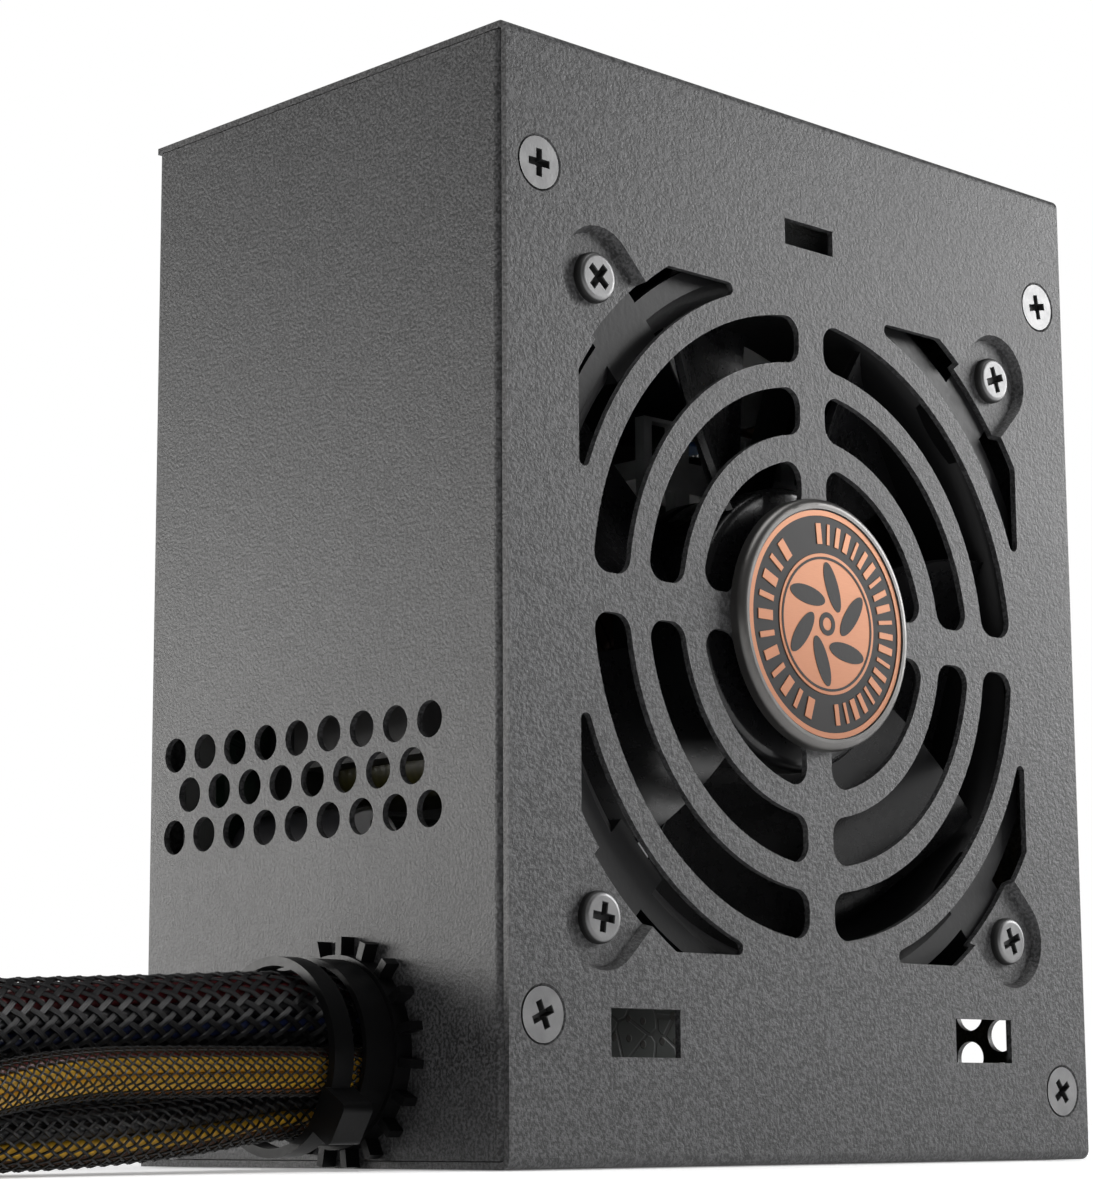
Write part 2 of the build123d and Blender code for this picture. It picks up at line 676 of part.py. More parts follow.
def make_inlet():
    """Cold-appliance inlet: a flange outside the wall and a shroud behind it."""
    long, wide, thick = inlet_flange
    outline = RectangleRounded(wide, long, 3.0)
    flange = extrude(facing_side(half_w) * (Pos(0, inlet_z) * outline), thick)
    shroud = extrude(facing_side(half_w + thick) * (Pos(0, inlet_z) * Rectangle(inlet_body[1], inlet_body[0])), -22)
    mouth = Pos(0, inlet_z) * Rectangle(inlet_cavity[1], inlet_cavity[0])
    corners = mouth.vertices().group_by(Axis.X)[0]
    mouth = chamfer(corners, 4.2)
    body = flange + shroud
    body -= extrude(facing_side(half_w + thick + 0.1) * mouth, -inlet_deep)
    for side in (-1, 1):
        z = inlet_z + side * inlet_screw_pitch / 2
        body -= along_x(0, z, half_w - 1, half_w + 5, 1.7)
        body -= Plane(origin=(half_w + thick, 0, z), z_dir=(-1, 0, 0)).location * extrude(Circle(screw_head_r + 0.1), 1.3, taper=45)
    for y, z in inlet_pin_places():
        body -= block(half_w - 22, half_w + thick, y - 2.05, y + 2.05, z - 1.05, z + 1.05)
    return body


def inlet_pin_places():
    return [(-2.0, inlet_z - 7), (-2.0, inlet_z + 7), (2.4, inlet_z)]


def make_inlet_pins():
    pins = []
    for y, z in inlet_pin_places():
        blade_part = block(half_w - 14.6, half_w - 3.0, y - 2, y + 2, z - 1, z + 1)
        blade_part = chamfer(blade_part.faces().sort_by(Axis.X)[-1].edges(), 0.5)
        tag = block(half_w - 22, half_w - 14.6, y - 2, y + 2, z - 0.4, z + 0.4)
        pins.append(blade_part + tag)
    return Compound(pins)


def make_inlet_screws():
    face = Plane(origin=(half_w + inlet_flange[2] + 0.02, 0, 0), x_dir=(0, 1, 0), z_dir=(1, 0, 0))
    places = [Pos(0, inlet_z + side * inlet_screw_pitch / 2, 0) for side in (-1, 1)]
    return Compound([face.location * place * flat_screw(7.0) for place in places])


def make_switch_frame():
    """Bezel and hollow body of the switch, with its three tags."""
    long, wide, thick = switch_bezel
    bezel = facing_side(half_w) * (Pos(0, switch_z) * RectangleRounded(wide, long, 1.0))
    body = facing_side(half_w) * (Pos(0, switch_z) * Rectangle(switch_body[1], switch_body[0]))
    frame = extrude(bezel, thick)
    frame = chamfer(frame.edges().group_by(Axis.X)[-1], 0.6)
    frame += extrude(body, -13.5)
    frame -= block(half_w - 8.5, half_w + thick + 1, -5.4, 5.4, switch_z - 8.7, switch_z + 8.7)
    frame -= Pos(rocker_pivot_x, 0, switch_z) * Rot(90, 0, 0) * Cylinder(1.3, 12.0)
    for z in (-5, 0, 5):
        frame += block(half_w - 19, half_w - 13.5, -2.4, 2.4, switch_z + z - 0.4, switch_z + z + 0.4)
    return frame


def make_rocker():
    """Two-faced rocker on its pivot pins, resting on one side."""
    tall = 2.6
    rise = rocker_half * math.tan(math.radians(rocker_tilt))
    outline = [
        (-rocker_half, tall + rise), (0, tall), (rocker_half, tall + rise), (rocker_half, -1.6),
        (2.0, -4.4), (-2.0, -4.4), (-rocker_half, -1.6),
    ]
    side = Plane(origin=(0, 0, 0), x_dir=(0, 0, 1), z_dir=(0, 1, 0))
    # local x is Z and local y is X
    body = extrude(side * make_face(Polyline(*outline, close=True)), 5.2, both=True)
    body = fillet(body.edges().filter_by(Axis.Y).group_by(Axis.X)[-1], 0.5)
    body += Rot(90, 0, 0) * Cylinder(1.22, 11.8)
    return Pos(rocker_pivot_x, 0, switch_z) * Rot(0, -rocker_tilt, 0) * body


def make_gland():
    """Bushing with radial fins against the wall and a collar round the cables."""
    at = Pos(gland_y, gland_z)
    wall = -half_w
    ring = at * (Circle(gland_wall_r) - Circle(gland_bore_r))
    gland = extrude(facing_side(wall - gland_out) * ring, gland_out + 3.0)
    foot = at * (Circle(gland_wall_r + 0.5) - Circle(gland_bore_r))
    gland += extrude(facing_side(wall - 2.2) * foot, 2.2)
    for i in range(gland_fins):
        angle = 92.2 + i * 360 / gland_fins
        fin = Pos((gland_wall_r + gland_fin_r) / 2, 0) * Rectangle(gland_fin_r - gland_wall_r + 0.2, 0.95)
        gland += extrude(facing_side(wall - 1.9) * (at * Rot(0, 0, angle) * fin), 1.9)
    for i in range(4):
        hook = (Circle(gland_wall_r + 0.8) - Circle(gland_bore_r)) & (Pos(gland_wall_r, 0) * Rectangle(6, 6))
        gland += extrude(facing_side(wall + sheet + 0.15) * (at * Rot(0, 0, 45 + 90 * i) * hook), 1.3)
    return gland


def make_cable_tie():
    """Strap drawn round the bundle just outside the bushing, with its lock at the lower front."""
    x0, strap_w = -60.9, 2.6
    band_r = 9.75
    z = gland_z - 0.6
    band = Pos(gland_y, z) * (Circle(band_r + 1.0) - Circle(band_r))
    tie = extrude(facing_side(x0) * band, strap_w)
    lock = Pos(gland_y, z) * Rot(0, 0, 212) * Pos(band_r + 2.2, 0) * RectangleRounded(4.4, 5.0, 0.8)
    lock -= Pos(gland_y, z) * Circle(band_r + 0.4)
    tie += extrude(facing_side(x0 - 0.7) * lock, strap_w + 1.4)
    return tie


# ---- output cables and their plugs ----

def cable_end(name):
    """Place at the end of a cable: local z runs on along the cable, local x lies level."""
    r, route = cables[name]
    last = Vector(*route[-1])
    ahead = (last - Vector(*route[-2])).normalized()
    level = Vector(-ahead.Y, ahead.X, 0).normalized()
    return Plane(origin=last, x_dir=level, z_dir=ahead)


def make_cable(name):
    r, route = cables[name]
    radii = bend_radii(route)
    tube = tube_through(route, radii, r)
    length = FilletPolyline(*route, radius=radii).length
    print(name, "length", round(length, 1), "radii in diameters", [round(a / (2 * r), 1) for a in radii])
    print(name, "volume over section times length", round(tube.volume / (math.pi * r * r * length), 4))
    return tube


def power_block(columns, start, latched):
    """Two-row socket block: local x across, local y up, local z along the cable."""
    wide = columns * cell
    body = Pos(start + wide / 2, 0, plug_long / 2) * Box(wide - 0.1, 2 * cell + 1.4, plug_long)
    body -= Pos(start + wide / 2, 2 * cell - 1.4, plug_long - 4) * Box(wide + 1, 2, 20)
    for i in range(columns):
        for row in (-0.5, 0.5):
            hole = Pos(start + (i + 0.5) * cell, row * cell - 0.2, plug_long - 4) * Box(3.1, 3.1, 10)
            body -= hole
    if latched:
        lever = Pos(start + wide / 2, cell + 1.35, plug_long / 2 + 1) * Box(4.0, 1.0, plug_long - 4)
        bridge = Pos(start + wide / 2, cell + 0.75, plug_long / 2) * Box(4.0, 1.4, 3.0)
        body += lever + bridge
    return body


def power_plug(name, groups):
    """Blocks side by side; groups holds the number of columns of each."""
    end = cable_end(name)
    lift = cell + 0.85 - cables[name][1][-1][2]
    total = sum(groups) * cell
    start = -total / 2
    blocks = []
    for columns in groups:
        blocks.append(power_block(columns, start, columns > 1))
        start += columns * cell
    return end.location * Pos(0, lift, 0) * Compound(blocks)


def drive_plug(wide=23.0, thick=6.0, long=16.0):
    """Flat storage plug with an L-shaped mouth."""
    body = Pos(0, 0, long / 2) * Box(wide, thick, long)
    mouth = Pos(-0.4, 0.2, long) * Box(wide - 3.6, 1.6, 10.0)
    key = Pos(wide / 2 - 2.6, 1.2, long) * Box(1.6, 2.6, 10.0)
    return cable_end("drive").location * Pos(0, 0.4, 0) * (body - mouth - key)


made = {
    "fan_side_cover": make_cover,
    "chassis_tray": make_tray,
    "cover_screws": make_cover_screws,
    "fan_screws": make_fan_screws,
    "grille_badge": make_badge,
    "fan_frame": make_fan_frame,
    "fan_rotor": make_rotor,
    "rotor_magnet": make_magnet,
    "fan_shaft": make_shaft,
    "fan_bearing": make_bearing,
    "fan_stator_core": make_stator,
    "fan_coils": make_fan_coils,
    "fan_circuit": make_fan_board,
    "fan_lead": make_fan_lead,
    "fan_lead_plug": make_fan_plug,
    "main_board": make_board,
    "board_standoffs": make_standoffs,
    "board_screws": make_board_screws,
    "insulating_film": make_insulation,
    "bulk_capacitor": make_bulk_capacitor,
    "output_capacitors": make_output_capacitors,
    "transformer_winding": make_transformer,
    "transformer_core": make_transformer_core,
    "standby_transformer": make_standby_transformer,
    "correction_choke": make_correction_choke,
    "output_choke": make_output_choke,
    "line_filter_choke": make_filter_choke,
    "primary_heatsink": make_primary_heatsink,
    "secondary_heatsink": make_secondary_heatsink,
    "switching_transistors": make_transistors,
    "output_rectifiers": make_rectifiers,
    "bridge_rectifier": make_bridge,
    "film_capacitor": make_film_capacitor,
    "disc_capacitors": make_disc_capacitors,
    "surge_varistor": make_varistor,
    "line_fuse": make_fuse,
    "control_card": make_control_board,
    "output_wires": make_output_wires,
    "mains_wires": make_mains_wires,
    "mains_inlet": make_inlet,
    "inlet_pins": make_inlet_pins,
    "inlet_screws": make_inlet_screws,
    "switch_frame": make_switch_frame,
    "switch_rocker": make_rocker,
    "cable_bushing": make_gland,
    "cable_tie": make_cable_tie,
    "main_cable": lambda: make_cable("main"),
    "drive_cable": lambda: make_cable("drive"),
    "processor_cable": lambda: make_cable("processor"),
    "graphics_cable": lambda: make_cable("graphics"),
    "main_plug": lambda: power_plug("main", [10, 2]),
    "processor_plug": lambda: power_plug("processor", [2, 2]),
    "graphics_plug": lambda: power_plug("graphics", [3, 1]),
    "drive_plug": drive_plug,
}

os.makedirs("parts", exist_ok=True)
for node, make in made.items():
    shape = make()
    shape.label = node
    export_step(shape, f"parts/{node}.step")
print("wrote", len(made), "nodes")
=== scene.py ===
import math
import bmesh
import bpy
import numpy as np
from mathutils import Matrix, Vector


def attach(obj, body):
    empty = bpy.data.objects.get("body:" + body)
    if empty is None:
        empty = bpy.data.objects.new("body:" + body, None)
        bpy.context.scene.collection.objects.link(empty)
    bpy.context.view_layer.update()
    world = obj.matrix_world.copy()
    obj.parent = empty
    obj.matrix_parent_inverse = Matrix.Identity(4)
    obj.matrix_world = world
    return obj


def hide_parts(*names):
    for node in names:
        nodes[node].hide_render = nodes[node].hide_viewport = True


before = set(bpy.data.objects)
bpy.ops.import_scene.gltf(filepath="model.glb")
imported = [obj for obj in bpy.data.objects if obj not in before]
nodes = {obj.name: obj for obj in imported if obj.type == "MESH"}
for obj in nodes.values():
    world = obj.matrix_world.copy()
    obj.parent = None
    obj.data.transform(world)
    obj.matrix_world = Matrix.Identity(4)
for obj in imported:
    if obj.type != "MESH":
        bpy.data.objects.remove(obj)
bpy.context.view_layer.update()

middleHeight = 0.0625     # of the fan and its badge
boardFace = 0.0244        # component side of the main board


# the view is from low in front of the cable wall; lengths in metres, angles in degrees
camera = {"place": (-0.2712, -0.2670, 0.0048), "azimuth": -43.97, "elevation": -9.67, "roll": -0.29,
          "focalShare": 3070.3 / 1200, "across": 0.0, "up": 0.0}
floorSize = {"half": 3.0, "grey": 0.93, "roughness": 0.6, "glow": 0.28, "farGlow": 0.9}
lights = [
    # name, place, aim, width, height, watts, colour
    ("softbox_right", (0.60, -0.37, 0.32), (0.03, -0.03, 0.07), 0.26, 0.26, 2.5, (1.0, 1.0, 1.0)),
    ("strip_right", (0.74, -0.20, 0.22), (0.03, -0.03, 0.07), 0.26, 0.26, 1.9, (1.0, 1.0, 1.0)),
    ("softbox_left", (-0.47, 0.47, 0.09), (-0.05, 0.0, 0.04), 0.36, 0.14, 1.8, (1.0, 0.99, 0.97)),
    ("strip_left", (-0.28, 0.60, 0.09), (-0.05, 0.0, 0.04), 0.20, 0.14, 0.8, (1.0, 0.99, 0.97)),
    ("softbox_top", (-0.05, -0.10, 1.50), (0.0, 0.0, 0.1), 1.3, 1.3, 20.0, (1.0, 1.0, 1.0)),
]
skyForLight = 0.06


def makeCamera():
    data = bpy.data.cameras.new("camera")
    seat = bpy.data.objects.new("camera", data)
    bpy.context.scene.collection.objects.link(seat)
    turn, tilt, roll = (math.radians(camera[k]) for k in ("azimuth", "elevation", "roll"))
    back = Vector((math.sin(turn) * math.cos(tilt), -math.cos(turn) * math.cos(tilt), math.sin(tilt)))
    right = Vector((0, 0, 1)).cross(back).normalized()
    up = back.cross(right)
    rolled = (right * math.cos(roll) + up * math.sin(roll), up * math.cos(roll) - right * math.sin(roll))
    axes = Matrix((rolled[0], rolled[1], back)).transposed()
    seat.matrix_world = Matrix.Translation(camera["place"]) @ axes.to_4x4()
    data.sensor_width = 36.0
    data.lens = 36.0 * camera["focalShare"]
    data.shift_x, data.shift_y = camera["across"], camera["up"]
    data.clip_start, data.clip_end = 0.01, 50.0
    bpy.context.scene.camera = seat


def makeLights():
    for name, place, aim, width, height, watts, colour in lights:
        data = bpy.data.lights.new(name, "AREA")
        data.shape = "RECTANGLE"
        data.size, data.size_y, data.energy, data.color = width, height, watts, colour
        lamp = bpy.data.objects.new(name, data)
        bpy.context.scene.collection.objects.link(lamp)
        lamp.location = place
        lamp.rotation_mode = "QUATERNION"
        lamp.rotation_quaternion = (Vector(aim) - Vector(place)).to_track_quat("-Z", "Y")
    world = bpy.data.worlds.new("studio")
    bpy.context.scene.world = world
    world.use_nodes = True
    tree = world.node_tree
    tree.nodes.clear()
    seen = tree.nodes.new("ShaderNodeBackground")
    seen.inputs["Color"].default_value = (1, 1, 1, 1)
    seen.inputs["Strength"].default_value = 1.0
    lit = tree.nodes.new("ShaderNodeBackground")
    lit.inputs["Color"].default_value = (1, 1, 1, 1)
    lit.inputs["Strength"].default_value = skyForLight
    path = tree.nodes.new("ShaderNodeLightPath")
    pick = tree.nodes.new("ShaderNodeMixShader")
    out = tree.nodes.new("ShaderNodeOutputWorld")
    tree.links.new(path.outputs["Is Camera Ray"], pick.inputs[0])
    tree.links.new(lit.outputs[0], pick.inputs[1])
    tree.links.new(seen.outputs[0], pick.inputs[2])
    tree.links.new(pick.outputs[0], out.inputs["Surface"])
    bpy.context.scene.view_settings.view_transform = "Standard"


class Value:
    # one socket of a material, which takes part in plain arithmetic
    def __init__(self, tree, socket=None):
        self.tree, self.socket = tree, socket

    def feed(self, target, value):
        if isinstance(value, Value):
            self.tree.links.new(value.socket, target)
        elif target.type == "RGBA":
            target.default_value = (*value, 1.0)[:4]
        else:
            target.default_value = value

    def node(self, kind, settings=None, sockets=None, out=0):
        made = self.tree.nodes.new("ShaderNode" + kind)
        for key, value in (settings or {}).items():
            if key == "stops":
                ramp = made.color_ramp.elements
                for at, shade in value[1:-1]:
                    ramp.new(at).color = (shade, shade, shade, 1)
                for element, (at, shade) in ((ramp[0], value[0]), (ramp[-1], value[-1])):
                    element.position = at
                    element.color = (shade, shade, shade, 1)
            else:
                setattr(made, key, value)
        for key, value in (sockets or {}).items():
            self.feed(made.inputs[key], value)
        return Value(self.tree, made.outputs[out])

    def maths(self, operation, *terms):
        return self.node("Math", {"operation": operation}, dict(enumerate(terms)))

    def __add__(self, other): return self.maths("ADD", self, other)
    def __radd__(self, other): return self.maths("ADD", other, self)
    def __sub__(self, other): return self.maths("SUBTRACT", self, other)
    def __rsub__(self, other): return self.maths("SUBTRACT", other, self)
    def __mul__(self, other): return self.maths("MULTIPLY", self, other)
    def __rmul__(self, other): return self.maths("MULTIPLY", other, self)
    def __truediv__(self, other): return self.maths("DIVIDE", self, other)
    def __gt__(self, other): return self.maths("GREATER_THAN", self, other)
    def __lt__(self, other): return self.maths("LESS_THAN", self, other)
    def __abs__(self): return self.maths("ABSOLUTE", self)

    def place(self, which="Object"):
        return self.node("TexCoord", out=which)

    def along(self, vector, axis):
        return self.node("SeparateXYZ", {}, {0: vector}, axis)

    def noise(self, vector, scale, detail=2.0, rough=0.5):
        return self.node("TexNoise", {}, {"Vector": vector, "Scale": scale, "Detail": detail, "Roughness": rough})

    def ramp(self, factor, low, high):
        # 0 at low, 1 at high
        return self.node("MapRange", {"clamp": True}, {0: factor, 1: low, 2: high, 3: 0.0, 4: 1.0})

    def blend(self, first, second, share):
        return self.node("Mix", {"data_type": "RGBA"}, {0: share, 6: first, 7: second}, 2)

    def stretch(self, vector, scale, middle=(0, 0, 0), turn=(0, 0, 0)):
        return self.node("Mapping", {}, {"Vector": vector, "Location": middle, "Rotation": turn, "Scale": scale})

    def bump(self, height, distance, strength=1.0):
        return self.node("Bump", {}, {"Height": height, "Distance": distance, "Strength": strength}, "Normal")


finishes = {}


def newMaterial(name, recipe, **fixed):
    # recipe(v) gives the sockets that vary or are plain; fixed are constants such as coat or sheen
    material = bpy.data.materials.new(name)
    material.use_nodes = True
    tree = material.node_tree
    tree.nodes.clear()
    v = Value(tree)
    sockets = {key.replace("_", " "): value for key, value in fixed.items()}
    sockets.update(recipe(v))
    shader = v.node("BsdfPrincipled", {}, sockets)
    out = tree.nodes.new("ShaderNodeOutputMaterial")
    tree.links.new(shader.socket, out.inputs["Surface"])
    finishes[name] = material


def powderCoat(dark, light, grain=2600, distance=0.00008, roughness=0.4):
    # fine textured paint: grains a third of a millimetre across on a slight orange peel
    def recipe(v):
        at = v.place()
        fine = v.noise(at, grain, 2.0, 0.6)
        peel = v.noise(at, 750, 2.0)
        cloud = v.noise(at, 45, 2.0)
        shade = v.ramp(fine * 0.85 + peel * 0.15, 0.42, 0.60)
        colour = v.blend(dark, light, shade * 0.85 + cloud * 0.15)
        return {"Base Color": colour, "Roughness": roughness + 0.16 * fine + 0.06 * cloud,
                "Normal": v.bump(fine + 0.5 * peel, distance)}
    return recipe


def bareMetal(colour, roughness=0.3, grain=(1, 1, 1), distance=0.00001, stain=0.12):
    def recipe(v):
        at = v.place()
        lines = v.noise(v.stretch(at, grain), 2600, 3.0, 0.6)
        cloud = v.noise(at, 160, 3.0)
        darker = tuple(c * (1 - 2.2 * stain) for c in colour)
        return {"Base Color": v.blend(darker, colour, v.ramp(cloud, 0.3, 0.65)), "Metallic": 1.0,
                "Roughness": roughness + 0.14 * (lines - 0.5) + 0.12 * (cloud - 0.5),
                "Normal": v.bump(lines, distance)}
    return recipe


def screwHead(face):
    # dull plated head; the cross-shaped hollow of its drive and the gap round it are painted near-black as shade
    def recipe(v):
        at = v.place()
        # painted shade: deeper than the head's face the colour turns near-black and loses its metal
        recessShade = v.ramp(v.along(at, "Y"), face, face + 0.00012)
        cloud = v.noise(at, 420, 3.0)
        fine = v.noise(at, 3000, 2.0)
        steel = v.blend((0.11, 0.11, 0.112), (0.24, 0.24, 0.24), cloud)
        return {"Base Color": v.blend(steel, (0.004, 0.004, 0.004), recessShade), "Metallic": 1 - recessShade,
                "Roughness": 0.36 + 0.16 * fine + 0.2 * recessShade, "Normal": v.bump(fine, 0.00001)}
    return recipe


def mouldedPlastic(colour, roughness=0.4, grain=1800, distance=0.00001, spread=0.18):
    def recipe(v):
        at = v.place()
        fine = v.noise(at, grain, 2.0)
        flow = v.noise(at, 90, 2.0)
        lighter = tuple(min(1.0, c * (1 + spread) + 0.002) for c in colour)
        return {"Base Color": v.blend(colour, lighter, flow * 0.6 + fine * 0.4),
                "Roughness": roughness + 0.12 * (fine - 0.5) + 0.12 * (flow - 0.5),
                "Normal": v.bump(fine, distance)}
    return recipe


def steppedPart(across, limit, low, high, lowRough, highRough, lowMetal=0.0, highMetal=0.0, distance=0.00001):
    # one finish below a plane across the part and another above it
    def recipe(v):
        at = v.place()
        above = v.along(at, across) > limit
        fine = v.noise(at, 1500, 2.0)
        cloud = v.noise(at, 120, 2.0)
        colour = v.blend(v.blend(low, tuple(c * 1.25 for c in low), cloud),
                         v.blend(high, tuple(c * 1.25 for c in high), cloud), above)
        return {"Base Color": colour, "Metallic": lowMetal + (highMetal - lowMetal) * above,
                "Roughness": lowRough + (highRough - lowRough) * above + 0.1 * (fine - 0.5),
                "Normal": v.bump(fine, distance)}
    return recipe


def sleevedCan(sleeve, stripe):
    # shrink sleeve with a stripe down one side, bare scored metal on the end that faces the fan
    def recipe(v):
        at = v.place()
        facing = v.along(v.place("Normal"), "Y") * -1
        end = v.ramp(facing, 0.55, 0.75)
        side = v.along(v.place("Normal"), "X") > 0.86
        cloud = v.noise(at, 120, 2.0)
        fine = v.noise(at, 2400, 2.0)
        colour = v.blend(v.blend(sleeve, tuple(c * 1.4 for c in sleeve), cloud), stripe, side)
        return {"Base Color": v.blend(colour, (0.6, 0.6, 0.6), end), "Metallic": end,
                "Roughness": 0.3 + 0.12 * cloud + 0.1 * end, "Normal": v.bump(fine, 0.000006)}
    return recipe


def circuitBoard(mask=(0.012, 0.085, 0.03)):
    # solder mask over tracks, with tinned pads in a loose grid
    def recipe(v):
        at = v.place()
        flat = v.stretch(at, (1, 0.01, 1))
        cells = v.node("TexVoronoi", {"feature": "DISTANCE_TO_EDGE"}, {"Vector": flat, "Scale": 210.0})
        tracks = v.ramp(cells, 0.03, 0.05)
        dots = v.node("TexVoronoi", {"feature": "F1"}, {"Vector": flat, "Scale": 330.0, "Randomness": 0.35})
        pads = v.ramp(dots, 0.2, 0.16)
        cloud = v.noise(at, 90, 2.0)
        green = v.blend(mask, tuple(c * 1.7 for c in mask), tracks)
        green = v.blend(green, tuple(c * 0.6 for c in mask), cloud * 0.4)
        return {"Base Color": v.blend(green, (0.04, 0.04, 0.036), pads), "Metallic": pads * 0.9,
                "Roughness": 0.34 + 0.1 * cloud, "Normal": v.bump(tracks + pads, 0.00003)}
    return recipe


def woundWire(colour=(0.32, 0.085, 0.02)):
    # enamelled copper with a coat of varnish
    def recipe(v):
        at = v.place()
        cloud = v.noise(at, 260, 3.0)
        fine = v.noise(at, 1400, 2.0)
        return {"Base Color": v.blend(tuple(c * 0.6 for c in colour), tuple(c * 1.5 for c in colour), cloud),
                "Metallic": 0.75, "Roughness": 0.26 + 0.16 * fine, "Normal": v.bump(fine, 0.00002)}
    return recipe


def insulation(colour, roughness=0.38):
    def recipe(v):
        at = v.place()
        cloud = v.noise(at, 180, 2.0)
        fine = v.noise(at, 2200, 2.0)
        return {"Base Color": v.blend(tuple(c * 0.8 for c in colour), tuple(min(1, c * 1.15) for c in colour), cloud),
                "Roughness": roughness + 0.14 * (fine - 0.5), "Normal": v.bump(fine + cloud, 0.000015)}
    return recipe


def badgeMetal(v):
    # satin rim turned on a lathe, black enamel in the dish
    at = v.place()
    x, z = v.along(at, "X"), v.along(at, "Z") - middleHeight
    reach = v.maths("SQRT", x * x + z * z)
    rim = v.ramp(reach, 0.01365, 0.01372)
    rings = v.noise(v.node("CombineXYZ", {}, {0: reach, 1: 0.0, 2: 0.0}), 9000, 2.0)
    cloud = v.noise(at, 200, 2.0)
    satin = v.blend((0.09, 0.088, 0.086), (0.16, 0.155, 0.15), cloud)
    return {"Base Color": v.blend((0.008, 0.007, 0.007), satin, rim),
            "Metallic": rim * 0.85, "Roughness": 0.34 + 0.12 * (rings - 0.5) * rim + 0.05 * cloud,
            "Normal": v.bump(rings * rim, 0.000008)}


def brushedCopper(v):
    at = v.place()
    x, z = v.along(at, "X"), v.along(at, "Z") - middleHeight
    sweep = v.noise(v.stretch(at, (0.25, 1, 3.0)), 3000, 3.0, 0.6)
    paintedTopLight = v.ramp(z + 0.35 * x, -0.012, 0.013)      # painted light: a little lighter towards the top and to the right
    # painted light: the copper runs from a shaded tone to a lit tone along this gradient
    colour = v.blend((0.36, 0.130, 0.052), (0.56, 0.245, 0.125), paintedTopLight)
    return {"Base Color": v.blend(colour, (0.20, 0.07, 0.035), 0.25 * sweep), "Metallic": 0.35,
            "Roughness": 0.44 + 0.14 * (sweep - 0.5), "Normal": v.bump(sweep, 0.000006)}


def windingTape(v):
    # layers of polyester tape, their edges showing
    at = v.place()
    y, z = v.along(at, "Y"), v.along(at, "Z")
    layers = v.node("TexWave", {"bands_direction": "Y"},
                    {"Vector": at, "Scale": 260.0, "Distortion": 1.2, "Detail": 1.0})
    cloud = v.noise(at, 150, 2.0)
    bobbin = y > boardFace - 0.0045
    tape = v.blend((0.030, 0.027, 0.004), (0.055, 0.05, 0.008), v.ramp(layers, 0.2, 0.8) * 0.5 + cloud * 0.5)
    return {"Base Color": v.blend(tape, (0.012, 0.012, 0.012), bobbin), "Roughness": 0.3 + 0.16 * cloud,
            "Normal": v.bump(layers, 0.00002)}


def fuseGlass(v):
    at = v.place()
    end = v.ramp(abs(v.along(at, "Z") - 0.104), 0.0045, 0.0047)
    cloud = v.noise(at, 300, 2.0)
    return {"Base Color": v.blend((0.75, 0.78, 0.74), v.blend((0.5, 0.5, 0.48), (0.68, 0.68, 0.66), cloud), end),
            "Metallic": end, "Roughness": 0.08 + 0.2 * end + 0.05 * cloud, "Alpha": 0.45 + 0.55 * end}


def controlCard(v):
    at = v.place()
    off = abs(v.along(at, "X") + 0.032)
    part = off > 0.00075
    plug = (v.along(at, "X") + 0.032 > 0.00075) * (v.along(at, "Z") > 0.1062)
    tracks = v.ramp(v.node("TexVoronoi", {"feature": "DISTANCE_TO_EDGE"}, {"Vector": at, "Scale": 520.0}), 0.03, 0.06)
    cloud = v.noise(at, 140, 2.0)
    green = v.blend((0.012, 0.08, 0.03), (0.02, 0.13, 0.05), tracks)
    black = v.blend((0.01, 0.01, 0.01), (0.02, 0.02, 0.02), cloud)
    return {"Base Color": v.blend(v.blend(green, black, part), (0.7, 0.69, 0.64), plug),
            "Roughness": 0.36 + 0.14 * cloud, "Normal": v.bump(tracks, 0.00002)}


newMaterial("powder_coat", powderCoat((0.008, 0.008, 0.0085), (0.074, 0.074, 0.076)))
newMaterial("screw_steel", bareMetal((0.30, 0.30, 0.30), 0.38, stain=0.18))
newMaterial("cover_screw", screwHead(-0.03165))
newMaterial("fan_screw", screwHead(-0.03155))
newMaterial("badge_metal", badgeMetal, Specular_IOR_Level=0.2)
newMaterial("badge_copper", brushedCopper)
newMaterial("badge_black", mouldedPlastic((0.008, 0.007, 0.007), 0.42), Specular_IOR_Level=0.2)
newMaterial("fan_plastic", mouldedPlastic((0.004, 0.004, 0.0045), 0.28, 900, 0.000012),
            Specular_IOR_Level=0.35, Coat_Weight=0.12, Coat_Roughness=0.12)
newMaterial("frame_plastic", mouldedPlastic((0.005, 0.005, 0.0055), 0.40, 1500, 0.000015),
            Specular_IOR_Level=0.25)
newMaterial("magnet", mouldedPlastic((0.03, 0.029, 0.028), 0.5))
newMaterial("bronze", bareMetal((0.45, 0.27, 0.11), 0.42))
newMaterial("core_steel", bareMetal((0.36, 0.35, 0.34), 0.4, (1, 14, 1), 0.00002))
newMaterial("shaft_steel", bareMetal((0.6, 0.6, 0.6), 0.18))
newMaterial("copper_wire", woundWire((0.035, 0.013, 0.007)))
newMaterial("circuit_board", circuitBoard((0.002, 0.009, 0.004)))
newMaterial("fan_board", circuitBoard((0.01, 0.03, 0.012)))
newMaterial("control_card", controlCard)
newMaterial("white_nylon", mouldedPlastic((0.66, 0.64, 0.58), 0.42))
newMaterial("film", mouldedPlastic((0.42, 0.43, 0.42), 0.22), Alpha=0.5)
newMaterial("bulk_sleeve", sleevedCan((0.012, 0.012, 0.016), (0.25, 0.23, 0.16)))
newMaterial("output_sleeve", sleevedCan((0.05, 0.05, 0.055), (0.42, 0.42, 0.42)))
newMaterial("winding_tape", windingTape)
newMaterial("ferrite", mouldedPlastic((0.035, 0.034, 0.034), 0.55, 1200, 0.00003, 0.5))
newMaterial("bare_aluminium", bareMetal((0.86, 0.865, 0.87), 0.55, (0.06, 1, 1), 0.00004))
